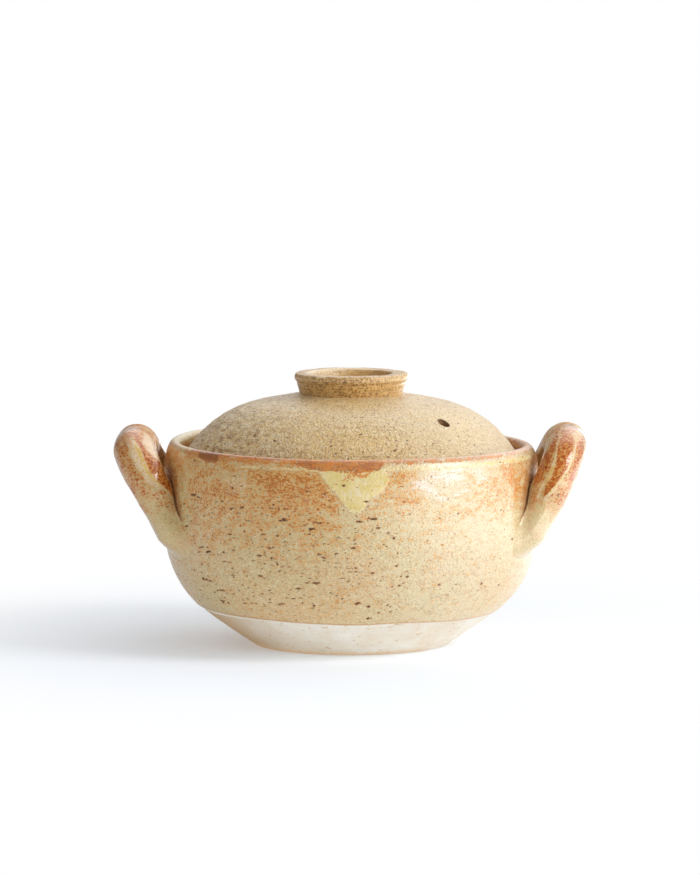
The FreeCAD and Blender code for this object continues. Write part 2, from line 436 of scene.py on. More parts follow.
def patch(soft, fray, *rows):  # each row: a height, the left and right edges there, and the strength
    heights, left, right, strength = zip(*rows)
    return {"heights": heights, "left": left, "right": right, "strength": strength,
            "soft": soft, "fray": fray}


# The ash coat's colours lie in patches, whose edges are degrees from the front

ashPits = {"seed": 11, "count": 560, "heights": (21.5, 104), "radius": 97.0, "depth": (0.3, 0.6),
           "lean": 0.09, "halfHeight": (0.32, 0.75), "stretch": (1.1, 5.0)}
ashPatches = {
    "rust": [
        patch(6, 10, (56, -14, -7, 0.2), (64, -18, -3, 0.34), (74, -24, -1, 0.46), (84, -29, -2.5, 0.62),
              (92, -32, -5, 0.72), (98, -33, -7.5, 0.78), (102.6, -33, -9, 0.78)),
        patch(8, 14, (52, -54, -8, 0.15), (64, -58, -6, 0.3), (80, -60, -6, 0.46), (92, -58, -20, 0.6),
              (101, -52, -28, 0.52)),
        patch(4, 8, (83, -50, -36, 0.6), (88, -51, -34, 0.86), (93, -49, -38, 0.86), (98, -46, -40, 0.5)),
        patch(6, 12, (84, -88, -68, 0.6), (92, -88, -64, 0.75), (103, -88, -60, 0.75),
              (108.5, -88, -60, 0.7)),
        patch(5, 9, (74, 64, 72, 0.3), (80, 61, 78, 0.4), (88, 56, 86, 0.48), (97, 51, 90, 0.48),
              (104, 51, 90, 0.4)),
        patch(4, 9, (82, 4, 24, 0.3), (92, 8, 21, 0.5), (104, 9, 20, 0.5)),
        patch(7, 10, (76, 42, 64, 0.34), (88, 37, 57, 0.46), (99, 36, 54, 0.4)),
        patch(8, 12, (60, 0, 26, 0.2), (72, 2, 40, 0.24), (88, 8, 44, 0.18), (101, 10, 40, 0.12)),
        patch(5, 12, (94, -66, -36, 0.26), (98, -64, -32, 0.36), (104, -62, -30, 0.4),
              (109, -60, -30, 0.36)),
        patch(2, 4, (111.2, -170, -66, 0.5), (112.4, -172, -62, 0.75), (124, -176, -60, 0.75)),
        # rust on the inner rim at the back right, partly painted shade
        patch(2, 4, (107, 70, 176, 0.8), (110, 74, 172, 1.2), (120, 80, 168, 1.2)),
        patch(7, 10, (70, 112, 150, 0.3), (86, 110, 160, 0.65), (96, 108, 162, 0.85),
              (103, 108, 162, 0.75)),
        patch(7, 10, (78, -158, -126, 0.3), (88, -163, -120, 0.6), (97, -165, -116, 0.8),
              (103, -165, -116, 0.75)),
    ],
    "yellow": [
        patch(0.7, 1.6, (81.8, -0.2, 3.2, 0.9), (83.5, -1.2, 4, 1), (86, -2.3, 4.7, 1),
              (88.5, -3.2, 5.8, 1), (90.5, -4.1, 7.6, 1), (93, -5.6, 9.8, 1), (95.5, -6.9, 10.9, 1),
              (98.5, -8.2, 11.6, 1), (102.4, -10, 10.8, 1), (104.2, -9.8, 10, 1)),
        patch(2.0, 3.5, (88, -39, -34, 0.4), (91, -42, -32, 0.5), (95, -44, -31.5, 0.52),
              (98, -43, -33, 0.46), (101.5, -40, -34, 0.4)),
        patch(1.0, 1.8, (101.6, 48, 76, 0.7), (103, 42, 78, 0.8), (105, 46, 74, 0.65)),
        patch(3, 7, (83, 171, 174, 0.5), (90, 166, 177, 0.8), (97, 168, 174, 0.7), (103, 164, 179, 0.9)),
    ],
    "ember": [
        patch(2, 6, (76, 64, 69, 0.44), (80, 61, 70, 0.6), (88, 56, 70, 0.64), (98, 51, 64, 0.6),
              (103, 52, 60, 0.5)),
        patch(1.0, 2.6, (98.2, 1.6, 3.4, 0.5), (100, 0.4, 5, 0.85), (102, -0.8, 6, 0.9),
              (104.6, -1.4, 6.8, 0.9)),
        patch(1.0, 2.6, (97, -2.4, 0, 0.5), (98.8, -3, 0.8, 0.7), (101, -2.4, 0.4, 0.6)),
        patch(1.2, 2.4, (98.4, 10.9, 14, 0.5), (100.4, 10.2, 14, 0.75), (102.2, 10.4, 13, 0.6)),
        patch(1.4, 3.5, (104.2, -60, -12, 0.7), (105.6, -66, -10, 1), (107.8, -64, -12, 0.85)),
        patch(2, 4, (100, -90, -62, 0.4), (104, -90, -60, 0.6), (108, -90, -60, 0.4)),
    ],
    "pale": [
        # painted highlight: a thin pale streak in the front of the rim band
        patch(0.4, 0.9, (105.7, -2, 4.4, 0.5), (106.3, -2.6, 5.2, 0.9), (106.9, -2, 4.6, 0.5)),
        patch(1.0, 3.0, (101.9, -26, -8, 0.5), (103.0, -40, -6, 0.72), (104.3, -30, -7, 0.5)),
        patch(1.2, 2.2, (101.6, 10.5, 52, 0.45), (103.4, 9.6, 50, 0.75), (105.4, 10, 46, 0.55)),
        patch(0.5, 0.8, (80.8, -0.6, 3.2, 0.5), (81.6, -1, 3.8, 0.9), (82.6, -1.4, 4.2, 0.5)),
        # pale lip top at the back left: glaze colour and painted highlight
        patch(1.0, 2.0, (108, -110, -60, 0.6), (109.6, -112, -58, 0.9), (111.2, -110, -60, 0.6)),
    ],
    # painted highlight: a whitish sheen on the right shoulder, where the key light reflects
    "paintedHighlight": [
        patch(10, 18, (82, 26, 32, 0.3), (88, 22, 40, 0.55), (93, 19, 44, 0.72), (99, 19, 46, 0.8),
              (104, 24, 40, 0.5)),
    ],
    "band": [
        patch(1.0, 3.0, (101.9, -5, 7, 0.85), (103.2, -13, 9.4, 0.95), (107.0, -20, 10, 0.9),
              (109.8, -26, 11, 0.7)),
        patch(0.7, 1.2, (105.2, 10, 88, 0.6), (106.6, 10, 92, 0.75), (109.8, 10, 96, 0.65)),
        patch(0.6, 1.6, (106.8, -60, -12, 0.9), (107.6, -62, -12, 1.1), (110.5, -62, -12, 0.9)),
        patch(1.0, 2.2, (103, -50, -46, 0.9), (105, -55, -45, 1.3), (109, -57, -47, 1.3),
              (111.5, -56, -50, 1)),
    ],
}


def patched(across, along, patches, fray, perDegree):  # 0 to 1, how much of this colour lies at each point
    total = np.zeros(np.broadcast(across, along).shape)
    for shape in patches:
        left = np.interp(along, shape["heights"], shape["left"])
        right = np.interp(along, shape["heights"], shape["right"])
        inside = np.minimum(across - left, right - across) * perDegree
        inside = np.minimum(inside, np.minimum(along - shape["heights"][0], shape["heights"][-1] - along))
        cover = ease(inside + fray * shape["fray"] * 0.5, -shape["soft"], shape["soft"])
        total = np.maximum(total, cover * np.interp(along, shape["heights"], shape["strength"]))
    return total


def pitShare(azimuth, height):
    leftFront = ease(azimuth, -75, -45) * (1 - ease(azimuth, 0, 25))
    inBand = ease(height, 22, 32) * (1 - ease(height, 80, 98))
    rightFront = ease(azimuth, 0, 15) * (1 - ease(azimuth, 50, 65)) * ease(height, 55, 65)
    return 0.16 + 0.84 * leftFront * inBand + 0.12 * inBand + 0.12 * rightFront


def crackShare(azimuth, height):
    return 0.15 + 0.85 * ease(azimuth, -80, -50) * (1 - ease(azimuth, 5, 30))


def paintedSheenShare(azimuth):  # painted sheen: how far the colour is whitened towards the lit right side
    return ease(azimuth, -15, 35) * (1 - 0.6 * ease(azimuth, 42, 60)) * (1 - ease(azimuth, 120, 170))


bowlRelief = {  # how far each kind of unevenness stands out, in millimetres
    "ash": {"rings": 0.09, "fineRings": 0.06, "grit": 0.05, "coarseGrit": 0.04, "slump": 0.3, "run": 0.18,
            "bead": 0.12, "thinEdge": 0.1, "edgeWave": 0.6, "edgeTilt": 1.0},
    "lining": {"rings": 0.22, "fineRings": 0.12, "spiral": 0.14},
    "clay": {"rings": 0.10, "grit": 0.05, "spiral": 0.12, "dish": 0.7},
}


def ashShape(points, outward, azimuth, outline):
    s, relief = bowlSize, bowlRelief["ash"]
    radius, height = outline[:, 0], outline[:, 1]
    facing = firstRows(outline, "ash")
    shown = facing[:, None] * 1.0
    fray = lumps(points, 0.7, 3) * 0.6 + lumps(points, 1.6, 4) * 0.4
    drift = lumps(points, 9, 5) * 0.5 + lumps(points, 3.2, 6) * 0.5
    marks = scatterMarks(ashPits, pitShare, crackShare)
    there = np.where(facing, radius, -1e3), np.where(facing, height, -1e3)
    sunk, stain = pressMarks(azimuth, *there, marks, fray)
    aboveLine = (height - s["glazeLine"])[:, None]
    bead = relief["bead"] * ease(aboveLine, 0, 1.2) * (1 - ease(aboveLine, 1.2, 4))
    rings = relief["rings"] * lumps(points, (60, 60, 2.1), 7)
    rings = rings + relief["fineRings"] * lumps(points, (18, 18, 1.2), 8)
    grit = relief["grit"] * lumps(points, 0.9, 9) + relief["coarseGrit"] * lumps(points, 1.9, 10)
    slump = relief["slump"] * lumps(points, (70, 70, 30), 12) * ease(aboveLine, 0, 12)
    thinned = relief["thinEdge"] * (1 - ease(aboveLine, 0, 0.5)) * shown
    lift = (rings + grit + slump + bead - sunk) * shown - thinned
    degrees = np.degrees(azimuth)[None]
    over = np.arange(len(outline)) > np.argmax(height)
    unrolled = np.where(over, 2 * s["rimHeight"] - height, height)[:, None]  # goes on rising over the lip
    paint = {key: patched(degrees, unrolled, patches, drift, math.radians(s["bellyRadius"])) * shown
             for key, patches in ashPatches.items()}
    lift = lift + relief["run"] * paint["yellow"] * ease(height[:, None], 80, 84)
    points = points + outward * lift[..., None]
    slide = relief["edgeWave"] * lumps(points, (26, 26, 400), 13)
    slide = slide - relief["edgeTilt"] * np.sin(azimuth)[None]
    slide = slide * (1 - ease(aboveLine, 0, 12))  # the glaze edge wanders, and follows the wall as it does
    widened = wallRadiusAt(points[..., 2] + slide) - wallRadiusAt(points[..., 2])
    points[..., :2] *= 1 + (widened / np.hypot(points[..., 0], points[..., 1]))[..., None]
    points[..., 2] += slide
    paint["pit"] = stain * shown
    paint["pitted"] = pitShare(degrees, height[:, None]) * shown
    paint["edge"] = (1 - ease(aboveLine + 0.5 * fray, 0.4, 1.6)) * shown
    paint["upper"] = np.broadcast_to(ease(height, 50, 92)[:, None], stain.shape) * shown
    # darker brown beside the handles: pooled glaze, with painted shade in the narrow gap and the crease
    fromHandle = freeHandleGap(points)
    paint["crease"] = 0.7 * (1 - ease(fromHandle, 0.2, 2.6)) * shown
    paint["fold"] = (1 - ease(fromHandle, 2, 11)) * shown
    # painted sheen on the lit right side
    paint["bright"] = paintedSheenShare(degrees) * shown
    return rimWobble(points, azimuth[None]), paint


# white also carries the painted sheen; the pinkish white is the painted highlight
ashTones = {
    "tan": (218, 190, 140), "olive": (212, 190, 136), "dark": (184, 136, 76), "cream": (238, 224, 182),
    "blush": (226, 172, 90), "rust": (211, 134, 44), "deep": (178, 98, 28), "yellow": (234, 212, 140),
    "greenish": (228, 205, 126), "band": (176, 98, 40), "ember": (212, 128, 44), "pale": (236, 218, 162),
    "pit": (104, 68, 34), "edge": (206, 142, 74), "crease": (104, 62, 26), "fold": (166, 108, 52),
    "paintedHighlight": (247, 230, 214), "white": (240, 232, 212)}


def ashFinish(name, gloss, tones):
    r = material(name)
    tone = palette({**ashTones, **tones})
    even = 1 - gloss * 0.8  # the glossier glaze on the handles is smoother in colour too
    fine = r.grain(0.38)
    sandy = r.grain(0.62, 1, stretch=(0.85, 0.85, 1.15))
    mottle = r.grain(1.9, 2, 2, (0.7, 0.7, 1.1))
    cloud = r.grain(17, 3, 2, warp=0.4)
    drawn = r.grain(0.7, 4, 2, (0.12, 0.12, 1))
    patchy = r.grain(4.5, 6, 1, (0.7, 0.7, 1.3), 0.3)
    mixed = (fine * 0.5 + sandy * 0.75 + mottle * 0.35 + drawn * 0.2) * even
    upper, stain, bright, band = r.paint("upper"), r.paint("pit"), r.paint("bright"), r.paint("band") * 3.6

    pale = (sandy * 0.9 - fine * 0.7 + drawn * 0.3).step(0.1, 1.4) * 0.7 * even
    dark = (fine * -0.7 - sandy * 0.7 + mottle * 0.3).step(0.3, 1.5) * 0.75 * even
    colour = r.blend(cloud.step(-1, 1), tone["olive"], tone["tan"])
    # painted sheen: whiter towards the lit right side, with less rust painted there
    colour = r.blend(bright * 0.34, colour, tone["white"])
    colour = r.blend(pale, colour, tone["cream"])
    colour = r.blend(dark, colour, tone["dark"])

    heat = r.paint("rust") * 2.6 + upper * 0.5 - bright * 0.35 + cloud * 0.25 + mixed * 1.4
    heat = heat + mottle * 0.18 + patchy * 0.16
    reddish = (heat - 1.4).step(0, 1.2)
    colour = r.blend((heat - 0.5).step(0, 1.3) * 0.8, colour, tone["blush"])
    colour = r.blend(reddish * 0.97, colour, tone["rust"])
    colour = r.blend((heat - 2.5).step(0, 1.4) * 0.65, colour, tone["deep"])
    colour = r.blend((fine * 0.9 - sandy * 0.7).step(0.3, 1.3) * reddish * 0.7, colour, tone["yellow"])
    colour = r.blend((sandy * 0.9 - fine * 0.6).step(0.5, 1.5) * reddish * 0.5, colour, tone["deep"])
    colour = r.blend((r.paint("pale") * 3 + mixed - 1.4).step(0, 0.9) * 0.85, colour, tone["pale"])
    # painted highlight: whitish pink in the patches painted for it
    highlightShare = r.paint("paintedHighlight") * 2.4 + mixed * 0.6 + patchy * 0.5 + drawn * 0.4
    colour = r.blend((highlightShare - 1.3).step(0, 1.1) * 0.9, colour, tone["paintedHighlight"])

    run = (r.paint("yellow") * 4.6 + mixed * 0.8 - 2.5).step(0, 0.9)  # thick glassy runs, with fine crackle
    crackle = r.grain(0.5, 12, 1, (0.9, 0.9, 0.16)).most(r.grain(0.5, 13, 1, (0.16, 0.16, 0.9)))
    glassy = r.blend((mottle + sandy * 0.6).step(-0.8, 1.2), tone["yellow"], tone["greenish"])
    glassy = r.blend((crackle + patchy * 0.3).step(0.3, 1.7) * 0.5, glassy, tone["white"])
    colour = r.blend(run * 0.88, colour, glassy)
    colour = r.blend(run * (1 - run) * 2.2, colour, tone["white"])
    colour = r.blend((r.paint("ember") * 3.2 + mixed * 1.1 - 1.6).step(0, 1.2) * 0.85, colour, tone["ember"])

    glowing = r.blend((mottle + drawn * 1.4 + sandy * 0.8).step(-0.9, 1.1), tone["band"], tone["ember"])
    crease = (r.paint("crease") * 3 + mixed * 0.4 - 1.0).step(0, 1.0)
    colour = r.blend((band + mixed - 1.9).step(0, 0.8) * 0.9, colour, glowing)
    colour = r.blend((band + mixed * 0.4 - 4.0).step(0, 0.7) * 0.55, colour, tone["crease"])
    colour = r.blend((r.paint("edge") * 2.6 + mixed * 0.7 - 1.2).step(0, 0.8) * 0.7, colour, tone["edge"])
    # browner beside the handles and darkest in the crease: pooled glaze and painted shade
    colour = r.blend((r.paint("fold") + mottle * 0.15).step(0.2, 1.0) * 0.75, colour, tone["fold"])
    colour = r.blend(crease * 0.85, colour, tone["crease"])

    pitted = r.paint("pitted")
    # fewer dark specks under the painted sheen on the lit right
    tiny = r.grain(0.6, 7, 0, (0.55, 0.55, 1)) + pitted * 0.45 - 2.0 - bright * 0.45
    tiny = tiny.step(0, 0.6) * 0.7
    scratch = (r.grain(0.42, 9, 1, (0.09, 0.09, 1)) + pitted * 0.3 - 1.5).step(0, 0.5) * 0.5
    colour = r.blend(stain.step(0.05, 0.5).most(scratch) * 0.6, colour, tone["deep"])
    colour = r.blend((stain * 1.2 + fine * 0.1).step(0.3, 1.0).most(tiny), colour, tone["pit"])

    dull = stain.most(tiny).most(crease).most(r.paint("fold")).most(r.paint("matt") * 0.8)
    rough = 0.5 - gloss * 0.25 - upper * 0.1 + fine * 0.04 + dull * 0.4
    normal = r.bump(fine * 0.5 + sandy * 0.9 + mottle * 0.3 + drawn * 0.3 - tiny * 2, 0.08 - gloss * 0.02)
    return r.finish(colour, rough, normal, (1 - dull) * 0.9, 0.24 - gloss * 0.26, 0.5 - gloss * 0.4)


def bareFinish():
    r = material("bare clay")
    tone = palette({"clay": (238, 235, 226), "warm": (232, 222, 204), "grog": (206, 172, 126),
                    "foot": (234, 202, 160), "leftTone": (204, 172, 130)})
    fine = r.grain(0.45)
    drawn = r.grain(0.7, 1, 2, (0.08, 0.08, 1))
    colour = r.blend(r.grain(12, 2, 2).step(-1, 1), tone["clay"], tone["warm"])
    colour = r.blend(r.grain(0.9, 3, 0, (0.6, 0.6, 1.3)).step(1.6, 2.2) * 0.7, colour, tone["grog"])
    # darker and warmer on the left
    colour = r.blend(r.paint("warmerLeft") * 0.9, colour, tone["leftTone"])
    colour = r.blend(r.paint("foot") * 0.8, colour, tone["foot"])
    colour = r.blend((fine + drawn * 0.7).step(0.6, 2.2) * 0.45, colour, tone["grog"])
    return r.finish(colour, 0.8 + fine * 0.03, r.bump(fine * 0.5 + drawn, 0.06), gloss=0.4)


def liningFinish():
    r = material("lining glaze")
    tone = palette({"amber": (206, 170, 116), "pale": (226, 204, 160), "spot": (120, 82, 44)})
    fine = r.grain(0.5)
    mottle = r.grain(2.2, 1, 2)
    rings = r.grain(1.6, 2, 2, (0.05, 0.05, 1))
    colour = r.blend((mottle + rings * 0.6 + fine * 0.5).step(-1.2, 1.4), tone["amber"], tone["pale"])
    colour = r.blend((fine + mottle * 0.4).step(1.5, 2.2) * 0.7, colour, tone["spot"])
    return r.finish(colour, 0.26 + fine * 0.03, r.bump(fine * 0.3 + rings * 0.6, 0.08), 0.5, 0.12)


def liningShape(points, outward, azimuth, outline):
    relief, radius = bowlRelief["lining"], outline[:, :1]
    rings = relief["rings"] * lumps(points, (80, 80, 3.2), 21)
    rings = rings + relief["fineRings"] * lumps(points, (30, 30, 1.8), 22)
    spiral = relief["spiral"] * np.sin(radius * 1.6 + azimuth[None]) * (1 - ease(radius, 40, 60))
    lift = (rings + spiral) * ease(radius, 1, 10)
    lift = lift * ~firstRows(outline, "lining")[:, None]
    return points + outward * lift[..., None], {}


def clayShape(points, outward, azimuth, outline):
    relief, height, radius = bowlRelief["clay"], outline[:, 1:], outline[:, :1]
    degrees = np.degrees(azimuth)[None]
    outside = firstRows(outline, "clay")[:, None]
    bare = outside * (height < bowlSize["glazeLine"] - 0.2)
    underneath = (height < 0.02) & outside
    rings = relief["rings"] * lumps(points, (60, 60, 1.7), 31) + relief["grit"] * lumps(points, 1.1, 32)
    spiral = relief["spiral"] * np.sin(radius * 2.2 + azimuth[None]) * (1 - ease(radius, 34, 40))
    dish = relief["dish"] * (1 - ease(radius, 38, 44)) + spiral
    lift = np.where(underneath, -dish, rings * bare)
    points = points + outward * lift[..., None]
    foot = (1 - ease(height + 0.8 * lumps(points, 2.5, 33), 0.2, 3.2)) * ease(radius, 46, 52)
    # painted light: the warm foot band fades towards the lit right
    foot = foot * (1 - 0.7 * ease(degrees, 15, 60))
    # darker and warmer towards the left on the bare clay
    leftSide = (1 - ease(degrees, -70, -25)) * ease(degrees, -170, -120)
    return rimWobble(points, azimuth[None]), {"foot": np.where(bare, foot, 0.0), "warmerLeft": leftSide * bare}


def makeBowl():
    s = bowlSize
    outside, inside = bowlLine()
    clayOutside = setIn(outside, s["coat"])
    below, above = cutAt(clayOutside, s["glazeLine"])
    below[:, 1] = np.maximum(below[:, 1], 0)
    below = below[np.argmax(below[:, 1] > 0.05):]
    footRadius = below[0][0] - s["footRound"]
    flatEdge = (footRadius - s["footFlat"], 0)
    under = joined(straight((0, 0), flatEdge),
                   bend(flatEdge, (footRadius + s["footSwell"], 0), below[0] - 0.3, below[0], 12))
    shownClay = evenly(joined(under, below), s["clayPitch"])
    hidden = evenly(above, s["hiddenPitch"])
    seat = evenly(straight(hidden[-1], inside[0]), s["seatPitch"])
    outsideRows["clay"] = len(shownClay)
    clay = joined(shownClay, hidden, seat, evenly(inside, s["clayInsidePitch"]))
    turnedPiece("bareBowl", clay, s["clayTurns"], clayShape, bareFinish(), "pot", "clay_bowl")

    face = evenly(cutAt(outside, s["glazeLine"])[1], s["ashPitch"])
    back = evenly(above, s["backPitch"])[::-1]
    outsideRows["ash"] = len(face)
    turnedPiece("ashCoat", joined(face, back), s["ashTurns"], ashShape, ashFinish("ash glaze", 0.0, {}),
                "pot", "bowl_glaze", looped=True)

    coated = setIn(inside, -s["coat"])
    top = s["rimHeight"] - s["seatDepth"] - s["liningStop"]
    claySide = inside[inside[:, 1] <= top][::-1]
    glazeSide = coated[coated[:, 1] <= top]
    glazeSide[-1] = (0, s["floor"] + s["coat"])
    claySide[0] = (0, s["floor"])
    claySide = evenly(claySide, s["backPitch"])
    outsideRows["lining"] = len(claySide)
    lining = joined(claySide, evenly(glazeSide, s["liningPitch"]))
    turnedPiece("liningCoat", lining, s["liningTurns"], liningShape, liningFinish(),
                "pot", "bowl_lining")


# Lid: a domed shell with a steam hole, its dry ash coat, the well inside the knob and the ring knob

lidSize = {
    "radius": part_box("lid_glaze")[1].y / mm,
    "seat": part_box("lid_dome")[0].z / mm,
    "knobTop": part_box("lid_knob")[1].z / mm,
    "lipRadius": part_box("lid_knob")[1].y / mm,
    "edge": 3.5,
    "thickness": 6.0,
    "shoulder": 58.0,
    "edgeSlope": 60.0,
    "crownSlope": 11.0,
    "coat": 0.5,
    "coatStop": 2.0,
    "holeRadius": 3.05,
    "holeInset": 21.0,
    "holeAngle": -44.0,
    "knobFoot": 27.3,
    "knobWall": 5.8,
    "knobBand": 4.7,
    "knobCrease": 0.6,
    "knobHeight": 11.3,
    "knobLap": 0.5,        # how far the dome's skins run on, past the inside of the knob
    "knobCover": 1.2,      # and the coat under its foot
    "wellGap": 0.05,
    "axisRows": 20,        # rows beside the axis, too small for the hole
    "holeRounding": ((0.0, 0.55), (0.12, 0.22), (0.4, 0.05), (0.9, -0.03)),  # beyond the hole, and down
    "holeBlock": 10,       # faces of the grid on each side that make way for the hole
    "coatTurns": 896,
    "clayTurns": 512,
    "wellTurns": 256,
    "knobTurns": 448,
    "coatPitch": 0.6,
    "clayPitch": 1.0,
    "crownPitch": 1.2,
    "wellPitch": 0.6,
    "knobPitch": 0.4,
}
lidRelief = {
    "coat": {"rings": 0.10, "grit": 0.10, "coarseGrit": 0.08, "slump": 0.3},
    "dome": {"spiral": 0.16, "grit": 0.08},
    "well": {"spiral": 0.12},
    "knob": {"grit": 0.07, "coarseGrit": 0.06, "rings": 0.10, "slump": 0.22, "lip": 0.3},
}
lidPits = {"seed": 29, "count": 520, "heights": (27, 87), "radius": 60.0, "depth": (0.12, 0.35),
           "lean": 0.2, "halfHeight": (0.3, 0.6), "stretch": (1.0, 3.0)}


def domeLine(skin, inner):  # the dome from its edge to this radius, set in by skin
    s = lidSize
    shoulderRadius = s["radius"] - s["shoulder"] * math.sin(math.radians(s["edgeSlope"]))
    shoulderHeight = s["seat"] + s["edge"] - s["shoulder"] * math.cos(math.radians(s["edgeSlope"]))
    middle = (shoulderRadius, shoulderHeight)
    shoulder = arcAbout(middle, s["shoulder"] - skin, s["edgeSlope"], s["crownSlope"])
    crown = shoulder[-1]
    end = (inner, crown[1] + (crown[0] - inner) * math.tan(math.radians(s["crownSlope"])))
    return joined(shoulder, straight(crown, end)), middle


def wellHeight(skin):
    s = lidSize
    return domeLine(skin, s["knobFoot"] - s["knobWall"] - s["knobLap"])[0][-1][1]


def holeCentre():
    s = lidSize
    reach, angle = s["radius"] - s["holeInset"], math.radians(s["holeAngle"])
    return np.array([reach * math.cos(angle), reach * math.sin(angle)])


def lookUp(points, row, column):  # the surface between grid points
    rows, columns = points.shape[:2]
    lowRow = np.clip(np.floor(row).astype(int), 0, rows - 2)
    share = (row - lowRow)[:, None]
    lowColumn = np.floor(column).astype(int)
    slide = (column - lowColumn)[:, None]
    here, there = lowColumn % columns, (lowColumn + 1) % columns
    low = points[lowRow, here] * (1 - slide) + points[lowRow, there] * slide
    high = points[lowRow + 1, here] * (1 - slide) + points[lowRow + 1, there] * slide
    return low * (1 - share) + high * share


def openFace(points, rowRange, facingUp, firstNew):  # opens the steam hole in one face of a turned grid
    s = lidSize
    columns = points.shape[1]
    first, last = rowRange
    centre = holeCentre()
    radii = np.hypot(points[first:last, 0, 0], points[first:last, 0, 1])
    order = np.argsort(radii)

    def gridPlace(plan):
        radius = np.hypot(plan[:, 0], plan[:, 1])
        turn = np.arctan2(plan[:, 0], -plan[:, 1]) % fullTurn
        return first + np.interp(radius, radii[order], order), turn * columns / fullTurn

    rowThere, columnThere = (int(round(float(v[0]))) for v in gridPlace(centre[None]))
    block = np.arange(-s["holeBlock"], s["holeBlock"] + 1)
    rows, across = rowThere + block, columnThere + block
    loop = np.array([(rows[0], c) for c in across[:-1]] + [(r, across[-1]) for r in rows[:-1]]
                    + [(rows[-1], c) for c in across[:0:-1]] + [(r, across[0]) for r in rows[:0:-1]])
    outer = points[loop[:, 0], loop[:, 1] % columns]
    turn = np.arctan2(outer[:, 1] - centre[1], outer[:, 0] - centre[0])
    if np.sum(np.diff(np.unwrap(turn))) < 0:
        loop, outer, turn = loop[::-1], outer[::-1], turn[::-1]
    start = int(np.argmin(turn))
    loop, outer, turn = np.roll(loop, -start, 0), np.roll(outer, -start, 0), np.roll(turn, -start)
    removed = {(int(r), int(c) % columns) for r in rows[:-1] for c in across[:-1]}

    way = np.stack([np.cos(turn), np.sin(turn)], 1)
    away = np.hypot(outer[:, 0] - centre[0], outer[:, 1] - centre[1])
    rim = s["holeRadius"] * (1 + 0.03 * np.sin(3 * turn + 1) + 0.02 * np.sin(5 * turn))  # cut by hand
    rings = [(rim + gap, drop) for gap, drop in s["holeRounding"]]
    brink = rim + s["holeRounding"][-1][0]
    rings += [(brink + (away - brink) * share, 0.0) for share in (0.25, 0.45, 0.65, 0.82)]
    made = []
    for reach, drop in rings:
        plan = centre + way * reach[:, None]
        ring = lookUp(points, *gridPlace(plan))
        ring[:, :2] = plan
        ring[:, 2] -= drop * (1 if facingUp else -1)
        made.append(ring)
    count = len(loop)
    index = [firstNew + k * count + np.arange(count) for k in range(len(made))]
    index.append(loop[:, 0] * columns + loop[:, 1] % columns)
    faces = []
    for near, far in zip(index, index[1:]):
        quads = np.stack([near, far, np.roll(far, -1), np.roll(near, -1)], 1)
        faces += (quads if facingUp else quads[:, ::-1]).tolist()
    return np.concatenate(made), faces, removed, index[0]


def pierced(grid, quads, paint, upper, lower):  # a turned grid with the steam hole through both faces
    flat = grid.reshape(-1, 3)
    newTop, topFaces, goneTop, topRing = openFace(grid, upper, True, len(flat))
    newLow, lowFaces, goneLow, lowRing = openFace(grid, lower, False, len(flat) + len(newTop))
    flat = np.vstack([flat, newTop, newLow])
    keep = np.ones(len(quads), bool)
    keep[[row * grid.shape[1] + column for row, column in goneTop | goneLow]] = False
    wall = np.stack([topRing, np.roll(topRing, -1), np.roll(lowRing, -1), lowRing], 1)
    faces = quads[keep].tolist() + topFaces + lowFaces + wall.tolist()
    paint = {key: np.append(values, np.zeros(len(flat) - len(values))) for key, values in paint.items()}
    # the edge and wall of the steam hole are marked for painted shade
    paint["hole"] = np.zeros(len(flat))
    for ring in (topRing, lowRing):
        paint["hole"][ring[0]:ring[0] + 2 * len(ring)] = 1
    return flat, faces, paint


def lidPitShare(azimuth, radius):  # more pits towards the edge
    return 0.25 + 0.75 * radius / 88


def coatShape(points, outward, azimuth, outline):
    relief, facing = lidRelief["coat"], firstRows(outline, "lid")
    fray = lumps(points, 0.7, 41)
    marks = scatterMarks(lidPits, lidPitShare, lambda azimuth, radius: 0.6)
    radius = outline[:, 0]
    there = np.where(facing, radius, 1), np.where(facing, radius, -1e3)
    sunk, stain = pressMarks(azimuth, *there, marks, fray)
    centre = holeCentre()
    fromHole = np.hypot(points[..., 0] - centre[0], points[..., 1] - centre[1])
    calm = ease(fromHole, 4, 8)
    thrown = np.stack(np.broadcast_arrays(outline[:, :1], azimuth[None] * 8, 0 * azimuth[None]), -1)
    rings = relief["rings"] * lumps(thrown, (1.9, 6, 1), 42)
    grit = relief["grit"] * lumps(points, 0.8, 43) + relief["coarseGrit"] * lumps(points, 1.7, 44)
    slump = relief["slump"] * lumps(points, 40, 45)
    lift = (rings + grit * (0.3 + 0.7 * calm) + slump - sunk * calm) * facing[:, None]
    return points + outward * lift[..., None], {"pit": stain * facing[:, None] * calm}


def domeShape(points, outward, azimuth, outline):
    relief, radius = lidRelief["dome"], outline[:, :1]
    below = firstRows(outline, "dome")[:, None]
    lift = relief["spiral"] * np.sin(radius * 1.7 + azimuth[None]) + relief["grit"] * lumps(points, 1.2, 51)
    return points + outward * (lift * below * ease(radius, 0, 8))[..., None], {}


def wellShape(points, outward, azimuth, outline):
    spiral = lidRelief["well"]["spiral"] * np.sin(outline[:, :1] * 2.4 - azimuth[None])
    spiral = spiral * (outline[:, 1:] > outline[:, 1].mean())
    return points + outward * spiral[..., None], {}


